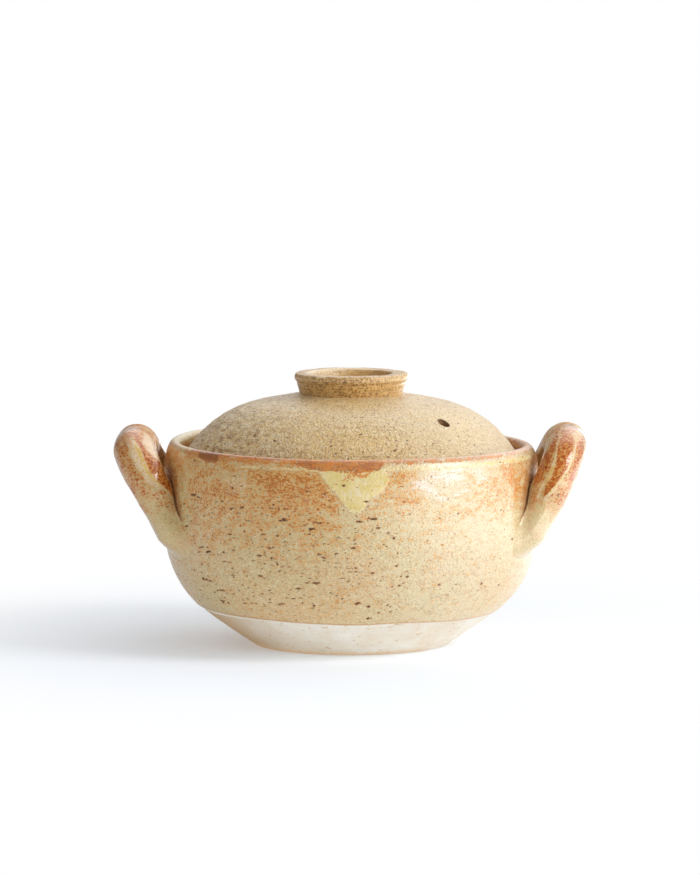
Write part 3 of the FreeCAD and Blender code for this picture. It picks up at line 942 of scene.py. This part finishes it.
def knobShape(points, outward, azimuth, outline):
    relief, top = lidRelief["knob"], lidSize["knobTop"]
    grit = relief["grit"] * lumps(points, 0.7, 61) + relief["coarseGrit"] * lumps(points, 1.5, 62)
    rings = relief["rings"] * lumps(points, (30, 30, 1.0), 63)
    slump = relief["slump"] * lumps(points, (18, 18, 8), 64)
    lip = relief["lip"] * lumps(points, (9, 9, 20), 65) * ease(outline[:, 1:], top - 3, top)
    points = points + outward * (grit + rings + slump)[..., None]
    points[..., 2] += lip
    spots = ease(lumps(points, (1.5, 1.5, 0.8), 66), 0.45, 0.75)
    # band marks the rounded lip, which the finish paints lighter as a highlight
    band = ease(outline[:, 1:], top - 5.2, top - 3.2)
    outer = ease(outline[:, :1], 23, 26)
    full = np.ones(points.shape[:2])
    return points, {"pit": spots * outer, "band": band * full, "well": (1 - outer) * full}


def lidFinish():
    r = material("dry ash glaze")
    tone = palette({"sand": (230, 194, 128), "grey": (226, 196, 142), "pale": (247, 231, 196),
                    "brown": (162, 110, 46), "amber": (204, 146, 72), "pit": (132, 86, 42),
                    "hole": (132, 84, 36)})
    fine = r.grain(0.34)
    sandy = r.grain(0.52, 1)
    mottle = r.grain(2.2, 2, 2)
    drawn = r.grain(0.55, 6, 2, (0.1, 0.1, 1))
    # painted light and shade by position: paler to the lit right, grain contrast on the shaded left
    across = r.along("X")
    shaded = 1 - across.step(-0.09, 0.01)
    pale = (sandy * 0.9 - fine * 0.8 + drawn * 0.35).step(0.2, 1.4) * 0.8
    dark = (fine * -0.7 + mottle * 0.3 - sandy * 0.6 - drawn * 0.3).step(0.4, 1.4) * 0.8
    hollows = r.grain(1.1, 11, 1, (0.5, 0.5, 1)) + fine * 0.5
    ridges = r.grain(1.1, 12, 1, (0.5, 0.5, 1)) - fine * 0.5
    tiny = r.grain(0.5, 8, 0, (0.7, 0.7, 1)).step(1.6, 2.2) * 0.75
    colour = r.blend(r.grain(22, 3, 2).step(-1, 1), tone["sand"], tone["grey"])
    colour = r.blend(pale, colour, tone["pale"])
    colour = r.blend(dark, colour, tone["brown"])
    colour = r.blend(r.grain(0.6, 5).step(1.0, 1.8) * 0.7, colour, tone["amber"])
    # painted light: paler towards the lit right
    colour = r.blend(across.step(0.0, 0.09) * 0.3, colour, tone["pale"])
    # painted shade and highlight on the shaded left: brown and pale grain in place of the relief's shading
    colour = r.blend(shaded * hollows.step(0.1, 1.1) * 0.85, colour, tone["brown"])
    colour = r.blend(shaded * ridges.step(0.1, 1.1) * 0.8, colour, tone["pale"])
    colour = r.blend((r.paint("pit") * 1.2).step(0.2, 0.9).most(tiny), colour, tone["pit"])
    # painted shade: dark brown in the steam hole
    colour = r.blend(r.paint("hole") * 0.9, colour, tone["hole"])
    relief = fine * 0.6 + sandy * 0.9 + r.grain(1.0, 9) * 0.9 + mottle * 0.3 + drawn * 0.5 - tiny * 2
    return r.finish(colour, 0.45 + fine * 0.04, r.bump(relief, 0.16), 0.7, 0.42)


def lidClayFinish():
    r = material("lid clay")
    tone = palette({"clay": (214, 190, 150), "pale": (226, 208, 174), "grog": (170, 132, 88),
                    "hole": (126, 78, 32)})
    fine = r.grain(0.5)
    rings = r.grain(1.2, 1, 2)
    colour = r.blend(r.grain(14, 2, 2).step(-1.2, 1.2), tone["clay"], tone["pale"])
    colour = r.blend((fine + rings * 0.5).step(0.8, 2.2) * 0.5, colour, tone["grog"])
    # painted shade: dark brown in the steam hole
    colour = r.blend(r.paint("hole") * 0.9, colour, tone["hole"])
    return r.finish(colour, 0.78 + fine * 0.03, r.bump(fine, 0.08), gloss=0.3)


def knobFinish():
    r = material("knob glaze")
    tone = palette({"ochre": (182, 132, 66), "gold": (228, 186, 114), "brown": (112, 70, 28),
                    "lip": (222, 188, 136), "well": (242, 218, 176), "pit": (66, 42, 20)})
    fine = r.grain(0.38)
    sandy = r.grain(0.62, 1, stretch=(1, 1, 1.2))
    mottle = r.grain(2.0, 2, 2)
    across = r.along("X")
    # painted light and shade in the hollow: pale on the inner left wall that faces the lit right, ochre on
    # the shaded right
    golden = (across.step(-0.014, 0.004) * 1.4 + sandy * 0.4 + mottle * 0.3).step(0.2, 1.5)
    shaded = (across.step(0.006, 0.018) * 1.3 + sandy * 0.2).step(0.2, 1.2)
    hollow = r.blend(golden * 0.85, tone["well"], tone["gold"])
    hollow = r.blend(shaded * 0.5, hollow, tone["ochre"])
    tiny = r.grain(0.55, 8, 0).step(1.5, 2.0) * 0.8
    colour = r.blend((sandy * 0.9 + mottle * 0.4).step(-0.9, 1.2), tone["ochre"], tone["gold"])
    colour = r.blend((fine * -0.7 - sandy * 0.5 + mottle * 0.1).step(0.5, 1.7) * 0.55, colour, tone["brown"])
    # painted light: the outer wall is golden towards the lit right
    colour = r.blend(across.step(0.0, 0.026) * 0.4, colour, tone["gold"])
    # painted highlight: the lip band is lighter where the rounded lip catches the light
    colour = r.blend(r.paint("band") * (sandy + fine * 0.5).step(-1.2, 0.9) * 0.75, colour, tone["lip"])
    colour = r.blend(r.paint("well") * 0.85, colour, hollow)
    colour = r.blend((r.paint("pit") * 0.6).most(tiny), colour, tone["pit"])
    rough = 0.48 - r.paint("well") * 0.2 + fine * 0.04
    return r.finish(colour, rough, r.bump(fine * 0.6 + sandy * 0.8 - tiny, 0.12), 0.6, 0.3)


def wellFinish():
    r = material("well glaze")
    tone = palette({"amber": (206, 166, 104), "brown": (180, 132, 76)})
    fine = r.grain(0.5)
    colour = r.blend(fine.step(-1, 1.6), tone["amber"], tone["brown"])
    return r.finish(colour, 0.3 + fine * 0.03, r.bump(fine, 0.06), 0.4, 0.15)


def makeLid():
    s = lidSize
    knobInner = s["knobFoot"] - s["knobWall"]
    underKnob = s["knobFoot"] - s["knobCover"]
    coatFoot = s["seat"] + s["coatStop"]
    upright = straight((s["radius"], coatFoot), (s["radius"], s["seat"] + s["edge"]))
    face = evenly(joined(upright, domeLine(0, underKnob)[0]), s["coatPitch"])
    backLine = domeLine(s["coat"], underKnob)[0]
    back = joined(straight((backLine[0][0], coatFoot), backLine[0]), backLine)
    back = evenly(back, s["clayPitch"])[::-1]
    outsideRows["lid"] = len(face)
    coat = joined(face, back)
    turnedPiece("lidCoat", coat, s["coatTurns"], coatShape, lidFinish(), "lid", "lid_glaze",
                looped=True, holed=((0, len(face)), (len(face), len(coat))))

    hollow, middle = domeLine(s["thickness"], knobInner - s["knobLap"])
    rise = (s["seat"] - middle[1]) / (s["shoulder"] - s["thickness"])
    lower = arcAbout(middle, s["shoulder"] - s["thickness"], math.degrees(math.acos(rise)), s["edgeSlope"])
    ceiling = joined(lower, hollow, straight(hollow[-1], (0, hollow[-1][1])))[::-1]
    ceiling = evenly(ceiling, s["clayPitch"])
    top = domeLine(s["coat"], knobInner - s["knobLap"])[0]
    foot = np.array([top[0][0], s["seat"]])
    rim = evenly(joined(straight(ceiling[-1], foot), straight(foot, top[0])), s["clayPitch"])
    crown = evenly(joined(top, straight(top[-1], (0, top[-1][1]))), s["crownPitch"])
    outsideRows["dome"] = len(ceiling)
    dome = joined(ceiling, rim, crown)
    above = (len(ceiling) + len(rim) - 1, len(dome) - s["axisRows"])
    below = (s["axisRows"], len(ceiling))
    turnedPiece("lidShell", dome, s["clayTurns"], domeShape, lidClayFinish(), "lid", "lid_dome",
                holed=(above, below))

    low, high = wellHeight(s["coat"]), wellHeight(0)
    wellRadius = knobInner - s["wellGap"]
    well = joined(straight((0, low), (wellRadius, low)), straight((wellRadius, low), (wellRadius, high)),
                  straight((wellRadius, high), (0, high)))
    turnedPiece("lidWell", evenly(well, s["wellPitch"]), s["wellTurns"], wellShape, wellFinish(),
                "lid", "lid_glaze")

    lip, knobTop, knobFoot, crease = s["lipRadius"], s["knobTop"], s["knobFoot"], s["knobCrease"]
    ridge, belowBand = (lip + knobInner) / 2, lip - 2 * crease
    footHeight = knobTop - s["knobHeight"]
    bandHeight, roundHeight = knobTop - s["knobBand"], knobTop - s["knobBand"] / 2
    knob = joined(
        straight((knobInner, high - 0.3), (knobFoot, footHeight - 0.5)),
        straight((knobFoot, footHeight - 0.5), (knobFoot, footHeight)),
        bend((knobFoot, footHeight), (knobFoot + 0.2, footHeight + 2), (belowBand, bandHeight - 1.5),
             (belowBand, bandHeight)),
        bend((belowBand, bandHeight), (lip - 1.6 * crease, bandHeight + 0.3), (lip, roundHeight - 1.4),
             (lip, roundHeight)),
        bend((lip, roundHeight), (lip, knobTop), (lip - 0.6, knobTop), (ridge, knobTop)),
        bend((ridge, knobTop), (knobInner + 0.6, knobTop), (knobInner, knobTop), (knobInner, roundHeight)),
        straight((knobInner, roundHeight), (knobInner, high - 0.3)))
    turnedPiece("ringKnob", evenly(knob, s["knobPitch"])[:-1], s["knobTurns"], knobShape, knobFinish(),
                "lid", "lid_knob", looped=True)


# Handles: each a coil swept along a leaning arch, worked out from the wall so that its roots smear into it

handleSize = {
    "rootHeight": 65.0, "halfSpan": 34.0, "bend": 24.0, "crownDrop": 1.6, "gap": 2.5, "crown": 11.8,
    "bendFoot": 10.4, "leg": 9.9, "rootWide": 14.0, "rootThick": 9.6, "rootLength": 20.0, "tuck": 17.0,
    "pitch": 0.75, "around": 128, "sunk": 0.9, "deepest": 3.0, "reach": 14.0,
    "slump": 0.35, "dents": 0.12, "grit": 0.05, "shrunk": 0.2,  # unevenness of the skin
    "buried": 5.0,         # how deep in the wall the roots end
    "nearOut": 78.0,       # beyond this and above the next, the wall may lie in a handle's crease
    "nearUp": 55.0,
}
handleLooks = {
    "left": {
        "side": -1, "stands": "left_handle", "drop": 1.9, "seed": 70, "speckle": 0.5, "foldFrom": 92,
        "crownScale": 1.0, "rootScale": 0.95, "legScale": 1.0,
        "patches": {
            "rust": [
                patch(0.9, 1.6, (36, 62, 76, 0.7), (41, 50, 75, 1), (46, 31, 76, 1), (51, 24, 80, 1),
                      (55, 25, 80, 1), (57.5, 26, 62, 1), (60, 27, 38, 1), (70, 20, 34, 0.9),
                      (78, 8, 34, 0.75), (88, -10, 60, 0.6)),
                patch(5, 6, (12, 10, 80, 0.3), (20, 6, 84, 0.42), (32, 8, 84, 0.46), (44, 14, 76, 0.4)),
                patch(3, 6, (44, -50, 8, 0.25), (50, -46, 10, 0.42), (58, -40, 4, 0.5), (66, -36, 0, 0.4))],
            "yellow": [
                patch(0.6, 1.0, (38, 44, 60, 0.7), (41, 40, 50, 0.85), (46, 21, 31, 0.9),
                      (51, 12, 24, 0.9), (56, 11, 24, 0.85), (61, 11, 26, 0.8), (66, 8, 20, 0.7),
                      (70, 6, 15, 0.5)),
                patch(2.0, 3.0, (40, 20, 50, 0.5), (46, -2, 31, 0.6), (52, -12, 26, 0.64),
                      (58, -14, 26, 0.64), (66, -16, 22, 0.58), (74, -14, 12, 0.4))],
            # painted highlight: the lit inner face of the crown
            "paintedHighlight": [
                patch(1.6, 2.5, (56, 66, 98, 0.8), (60, 44, 96, 1), (68, 40, 92, 1), (76, 46, 88, 0.8))]}},
    "right": {
        "side": 1, "stands": "right_handle", "drop": 0.4, "seed": 80, "speckle": 0.42, "foldFrom": 110,
        "crownScale": 0.99, "rootScale": 1.0, "legScale": 1.04,
        "patches": {
            "rust": [
                patch(0.8, 1.6, (39, 12, 20, 0.8), (43, 2, 19, 1), (46.5, -7, 18, 1), (50, -11, 15, 1),
                      (54, -16, 22, 1), (60, -12, 33, 0.95), (65, -5, 37, 0.9), (70, 8, 40, 0.85),
                      (77, 4, 38, 0.7), (88, -10, 55, 0.5)),
                patch(0.8, 1.6, (42, 46, 66, 0.8), (46, 42, 74, 1), (52, 40, 82, 1), (58, 40, 80, 0.95),
                      (64, 42, 64, 0.85), (74, 48, 62, 0.7)),
                patch(5, 6, (12, 10, 80, 0.3), (20, 6, 84, 0.42), (32, 8, 84, 0.46), (44, 14, 76, 0.4)),
                patch(3, 6, (40, -110, -30, 0.45), (50, -120, -26, 0.72), (58, -130, -20, 0.85),
                      (66, -150, -14, 0.9), (74, -150, -8, 0.85), (88, -150, -4, 0.7))],
            "yellow": [
                patch(0.5, 0.9, (33, 14, 30, 0.35), (38, 20, 34, 0.6), (43, 22, 36, 0.75),
                      (50, 18, 30, 0.75), (57, 27, 34, 0.7), (62, 35, 39, 0.65), (67, 39, 42, 0.5)),
                patch(0.5, 0.9, (34, -4, 8, 0.4), (39, -3, 10, 0.6), (44, -10, 1, 0.75),
                      (48, -18, -8, 0.75), (54, -24, -16, 0.7), (60, -21, -12, 0.7), (66, -14, -5, 0.6),
                      (72, -2, 6, 0.5))],
            # painted highlights and painted light: the roots, the inner crown and the glow at the outer
            # right crown
            "paintedHighlight": [
                patch(4, 5, (8, -60, 90, 0.5), (16, -60, 90, 0.6), (30, -50, 80, 0.55), (40, -40, 60, 0.4)),
                patch(2.0, 2.5, (56, 72, 120, 0.5), (62, 64, 120, 0.9), (68, 62, 118, 0.9),
                      (75, 66, 108, 0.3)),
                patch(2.5, 4, (60, -150, -72, 0.6), (64, -150, -56, 0.85), (69, -150, -38, 1),
                      (74, -150, -2, 1), (84, -150, 30, 1))]}},
}
# the pinkish tan is the handles' painted highlight
handleTones = {"rust": (190, 98, 26), "deep": (142, 60, 12), "blush": (214, 158, 96),
               "yellow": (222, 186, 92), "greenish": (214, 178, 96), "paintedHighlight": (228, 198, 156)}


def wallRadiusAt(height):
    outside = bowlLine()[0]
    top = int(np.argmax(outside[:, 1]))
    return np.interp(height, outside[:top, 1], outside[:top, 0])


def wallGap(points):  # about how far a point lies outside the bowl's wall
    heights = np.linspace(0, bowlSize["rimHeight"], 240)
    radii = wallRadiusAt(heights)
    slope = np.gradient(radii, heights)
    radius = np.hypot(points[..., 0], points[..., 1])
    height = points[..., 2]
    flat = (radius - np.interp(height, heights, radii)) / np.sqrt(1 + np.interp(height, heights, slope) ** 2)
    over = np.maximum(height - bowlSize["rimHeight"] + 4, 0)
    return np.where(over > 0, np.hypot(np.maximum(flat, 0), over), flat)


def handleSpine(look):
    s = handleSize
    belly = bowlSize["bellyRadius"]
    rootOut = math.sqrt(belly ** 2 - s["halfSpan"] ** 2)
    crownOut = belly + s["gap"] + s["crown"]
    rise = bowlSize["rimHeight"] - s["crownDrop"] - s["rootHeight"]
    reach = math.hypot(crownOut - rootOut, rise)
    lean = np.array([(crownOut - rootOut) / reach, 0, rise / reach])
    span = np.array([0, 1, 0])
    inward = np.cross(lean, span)
    leg, bent, flat = reach - s["bend"] + s["rootLength"], s["bend"] * math.pi / 2, s["halfSpan"] - s["bend"]
    half = leg + bent + flat
    steps = int(2 * half / s["pitch"])
    middles, wideWays, stations = [], [], []
    for along in np.linspace(-half, half, steps):
        side = -1 if along < 0 else 1
        left = half - abs(along)
        if left < leg:
            turn, across, up = 0.0, s["halfSpan"], left - s["rootLength"]
        elif left < leg + bent:
            turn = (left - leg) / s["bend"]
            across = s["halfSpan"] - s["bend"] * (1 - math.cos(turn))
            up = reach - s["bend"] * (1 - math.sin(turn))
        else:
            turn, across, up = math.pi / 2, half - left, reach
        tuck = s["tuck"] * (min(up, 0) / s["rootLength"]) ** 2
        settle = np.array([0, 0, -look["drop"] * float(ease(up, 12, reach))])
        root = np.array([rootOut, 0, s["rootHeight"]])
        middles.append(root + span * side * across + lean * up + inward * tuck + settle)
        wideWays.append(span * side * math.cos(turn) + lean * math.sin(turn))
        stations.append((side, up, turn, left))
    return np.array(middles), np.array(wideWays), inward, np.array(stations)


def freeHandleGap(points):  # how far each point lies from the free part of the nearest handle
    away = np.full(points.shape[:2], 99.0)
    for look in handleLooks.values():
        middles, _, _, stations = handleSpine(look)
        spine = middles[stations[:, 1] > 0] * (look["side"], 1, 1)
        beside = points[..., 0] * look["side"] > handleSize["nearOut"]
        beside = beside & (points[..., 2] > handleSize["nearUp"])
        chosen = points[beside]
        gap = np.full(len(chosen), 99.0)
        for middle in spine[::2]:
            gap = np.minimum(gap, np.linalg.norm(chosen - middle, axis=1))
        away[beside] = gap - handleSize["leg"]
    return away


def handleSection(look, stations, angle):  # distance from the spine to the skin of the plain coil
    s = handleSize
    up, turn = stations[:, 1:2], stations[:, 2:3]
    smear = np.cos(np.pi / 2 * np.clip(up / s["rootLength"], 0, 1)) ** 2
    bendShare = np.clip(turn / (np.pi / 2), 0, 1)
    coil = s["leg"] + (s["bendFoot"] - s["leg"]) * ease(up, 5, 25)
    coil = coil + (s["crown"] - s["bendFoot"]) * ease(bendShare, 0, 1)
    coil = coil * (look["legScale"] + (look["crownScale"] - look["legScale"]) * bendShare)
    halfWide = coil + smear * (s["rootWide"] * look["rootScale"] - coil)
    halfThick = coil + smear * (s["rootThick"] * look["rootScale"] - coil)
    ridge = 2.0 - 0.22 * ease(up, -5, 10) * (1 - 0.6 * bendShare)
    wide, thick = np.abs(np.cos(angle) / halfWide), np.abs(np.sin(angle) / halfThick)
    return (wide ** ridge + thick ** ridge) ** (-1 / ridge)


def blendIntoWall(plain, middles, ways, up):  # rays from the spine end on the coil, eased into the wall
    s = handleSize
    soft = 1.2 + 6.5 * (1 - ease(up, -6, 16))
    reaches = np.arange(0.5, s["reach"] + s["rootWide"], 0.25)
    field = np.zeros((len(reaches),) + plain.shape)
    walls = np.zeros_like(field)
    for index, reach in enumerate(reaches):
        wall = wallGap(middles[:, None] + ways * reach)
        coilGap = reach - plain
        share = np.clip(0.5 + 0.5 * (wall - coilGap) / soft, 0, 1)
        smooth = wall + (coilGap - wall) * share - soft * share * (1 - share)
        field[index] = smooth + s["sunk"] * ease(coilGap, 0.35 * soft, 1.0 * soft)
        walls[index] = wall
    outside = (field > 0) & (reaches[:, None, None] > 0.3 * plain)
    hit = np.argmax(outside, axis=0)
    before = np.maximum(hit - 1, 0)
    high = np.take_along_axis(field, hit[None], 0)[0]
    low = np.take_along_axis(field, before[None], 0)[0]
    share = np.where(hit > 0, -low / np.maximum(high - low, 1e-6), 0)
    crossing = reaches[before] + (reaches[hit] - reaches[before]) * np.clip(share, 0, 1)
    tooDeep = walls < -s["deepest"]
    deepAt = np.where(tooDeep.any(axis=0), reaches[np.argmax(tooDeep, axis=0)], plain)
    return np.where(outside.any(axis=0), crossing, np.minimum(plain, deepAt))


def makeHandle(name, look):
    s = handleSize
    side, seed = look["side"], look["seed"]
    middles, wideWays, inward, stations = handleSpine(look)
    angle = (np.arange(s["around"]) * fullTurn / s["around"])[None]
    plain = handleSection(look, stations, angle)
    ways = wideWays[:, None] * np.cos(angle)[..., None] + inward * np.sin(angle)[..., None]
    skin = middles[:, None] + ways * plain[..., None]
    for amount, size, step in ((s["slump"], 16, 0), (s["dents"], 3.5, 1), (s["grit"], 1.0, 2)):
        plain = plain + amount * lumps(skin, size, seed + step)
    plain = plain - s["shrunk"]
    points = middles[:, None] + ways * blendIntoWall(plain, middles, ways, stations[:, 1:2])[..., None]
    buried = np.maximum(-s["buried"] - wallGap(points), 0)
    points[..., :2] *= 1 + (1.1 * buried / np.hypot(points[..., 0], points[..., 1]))[..., None]
    near = 1 - ease(wallGap(points), 0.1, 1.8)
    points[..., 0] *= side
    rows, columns = points.shape[:2]
    faces = gridFaces(rows, columns)
    faces = (faces if side < 0 else faces[:, ::-1]).tolist()
    flat = points.reshape(-1, 3)
    for row, flip in ((0, side > 0), (rows - 1, side < 0)):
        faces += fan(row * columns + np.arange(columns), len(flat), flip)
        flat = np.vstack([flat, points[row].mean(axis=0)])
    paint = handlePaint(look, points, stations, angle, near)
    paint = {key: np.append(values.ravel(), [0, 0]) for key, values in paint.items()}
    finish = ashFinish(name + " glaze", 0.6, handleTones)
    makePiece(name, flat, faces, paint, finish, "pot", look["stands"])


def handlePaint(look, points, stations, angle, near):
    up, bent, along = stations[:, 1:2], np.degrees(stations[:, 2:3]), stations[:, 3:4]
    turned = np.degrees((angle + math.pi) % fullTurn - math.pi)
    drift = lumps(points, 6, look["seed"] + 5) * 0.5 + lumps(points, 2.4, look["seed"] + 6) * 0.5
    perDegree = math.radians(handleSize["leg"] + 1)
    paint = {key: patched(turned, along, patches, drift, perDegree)
             for key, patches in look["patches"].items()}
    full = np.ones(points.shape[:2])
    azimuth = np.degrees(np.arctan2(points[..., 0], -points[..., 1]))
    paint["rust"] = np.maximum(paint["rust"], look["speckle"] * ease(up, -8, 22) * full)
    # darker brown at the crease and on the inner sides of the legs, which face the wall: pooled glaze and
    # painted shade
    paint["crease"] = near * ease(up, -4, 6) * ease(turned, 15, 50) * (1 - ease(turned, 130, 165))
    innerSide = ease(turned, look["foldFrom"], look["foldFrom"] + 16)
    innerFold = innerSide * ease(up, 18, 32) * (1 - ease(bent, 55, 85))
    paint["fold"] = np.maximum(innerFold, 0.8 * near * ease(up, -14, -4) * ease(turned, 10, 40))
    crownSides = ease(bent, 50, 80) * np.maximum(ease(turned, 15, 50), 1 - ease(turned, -70, -35))
    paint["matt"] = np.maximum(crownSides, ease(bent, 40, 85) * (stations[:, :1] > 0))
    paint["upper"] = ease(up, -8, 30) * full
    # painted light: the handle roots are whitened on the lit right side
    paint["bright"] = paintedSheenShare(azimuth) * (1 - ease(up, 4, 22))
    return paint


makeBowl()
makeLid()
for handleName, look in handleLooks.items():
    makeHandle(handleName + "Handle", look)


# Floor, light and camera

stageSize = {"floor": 30.0, "camera": (-0.00055, -3.0, 0.42), "pitch": 5.90, "lens": 232.25, "sensor": 36.0,
             "keyPower": 12.0, "keySize": (0.6, 0.6), "keyAzimuth": 66.0, "keyHeight": 34.0, "keyAway": 1.7,
             "keyTarget": (0, 0, 0.06), "keyDiffuse": 0.3}


def makeFloor():  # white paper that keeps the pot's shadow, and fades to plain white away from it
    r = material("white floor")
    toCamera = r.add("ShaderNodeLightPath", {}, {}, "Is Camera Ray")
    toMirror = r.add("ShaderNodeLightPath", {}, {}, "Is Glossy Ray")
    across = r.along("X")
    away = r.add("ShaderNodeVectorMath", {"operation": "LENGTH"}, {0: r.place}, "Value")
    paper = r.add("ShaderNodeBsdfDiffuse", {}, {"Color": (0.80, 0.82, 0.86)})
    bright = r.between(toMirror, across.step(-0.35, 0.05) * 0.26 + 0.06, across.step(0.0, 0.5) * 2.8)
    under = r.add("ShaderNodeEmission", {}, {"Color": bright})
    bounce = r.add("ShaderNodeAddShader", {}, {0: paper, 1: under})
    shown = r.add("ShaderNodeBsdfDiffuse", {}, {"Color": (0.88, 0.91, 0.965)})
    glow = r.add("ShaderNodeEmission", {}, {"Color": (0.15, 0.17, 0.19)})
    lit = r.add("ShaderNodeAddShader", {}, {0: shown, 1: glow})
    white = r.add("ShaderNodeEmission", {}, {"Color": (1, 1, 1)})
    faded = away.step(0.09, 0.34).most(across.step(0.03, 0.3))
    seen = r.add("ShaderNodeMixShader", {}, {0: faded, 1: lit, 2: white})
    finish = r.end(r.add("ShaderNodeMixShader", {}, {0: toCamera, 1: bounce, 2: seen}))
    half = stageSize["floor"]
    mesh = bpy.data.meshes.new("floor")
    corners = [(-half, -half, 0), (half, -half, 0), (half, half, 0), (-half, half, 0)]
    mesh.from_pydata(corners, [], [[0, 1, 2, 3]])
    mesh.materials.append(finish)
    floor = placed("floor", mesh)


def makeWorld():  # white to the camera; glaze mirrors a dark left, a bright right and a pale back
    r = Recipe(bpy.data.worlds.new("studio"), "ShaderNodeOutputWorld", "Generated")
    across, back, height = r.along("X"), r.along("Y"), r.along("Z")
    scattered = across.step(-0.9, 0.0) * 0.12 + across.step(0.0, 0.9) * -0.18 + 0.54
    panel = (across * 0.94 - back * 0.34).step(0.75, 0.98) * 2.4
    window = (across * 0.86 - back * 0.24 + height * 0.44).step(0.86, 0.99) * 0.8
    behind = across.step(-0.6, 0.2) * back.step(-0.3, 0.5)
    mirrored = behind * (height.step(0.05, 0.5) * 1.5 + 0.4) + panel + window + 0.1
    isDiffuse = r.add("ShaderNodeLightPath", {}, {}, "Is Diffuse Ray")
    isCamera = r.add("ShaderNodeLightPath", {}, {}, "Is Camera Ray")
    shown = r.between(isCamera, r.between(isDiffuse, mirrored, scattered), 1.0)
    bpy.context.scene.world = r.end(r.add("ShaderNodeBackground", {}, {"Color": shown}))


def makeLights():
    s = stageSize
    light = bpy.data.lights.new("softbox", "AREA")
    light.shape = "RECTANGLE"
    light.size, light.size_y = s["keySize"]
    light.energy = s["keyPower"]
    light.diffuse_factor = s["keyDiffuse"]
    azimuth, height = math.radians(s["keyAzimuth"]), math.radians(s["keyHeight"])
    flat = s["keyAway"] * math.cos(height)
    place = np.array([flat * math.sin(azimuth), -flat * math.cos(azimuth), s["keyAway"] * math.sin(height)])
    ahead = np.array(s["keyTarget"]) - place
    tilt = math.atan2(ahead[2], math.hypot(ahead[0], ahead[1]))
    lamp = placed("softbox", light)
    lamp.location = place
    lamp.rotation_euler = (math.pi / 2 + tilt, 0, math.atan2(ahead[1], ahead[0]) - math.pi / 2)


def makeCamera():
    s = stageSize
    lens = bpy.data.cameras.new("camera")
    lens.sensor_width = s["sensor"]
    lens.lens = s["lens"]
    lens.clip_end = 100.0
    camera = placed("camera", lens)
    camera.location = s["camera"]
    camera.rotation_euler = (math.radians(90 - s["pitch"]), 0, 0)
    bpy.context.scene.camera = camera


makeFloor()
makeWorld()
makeLights()
makeCamera()
print("stage set")
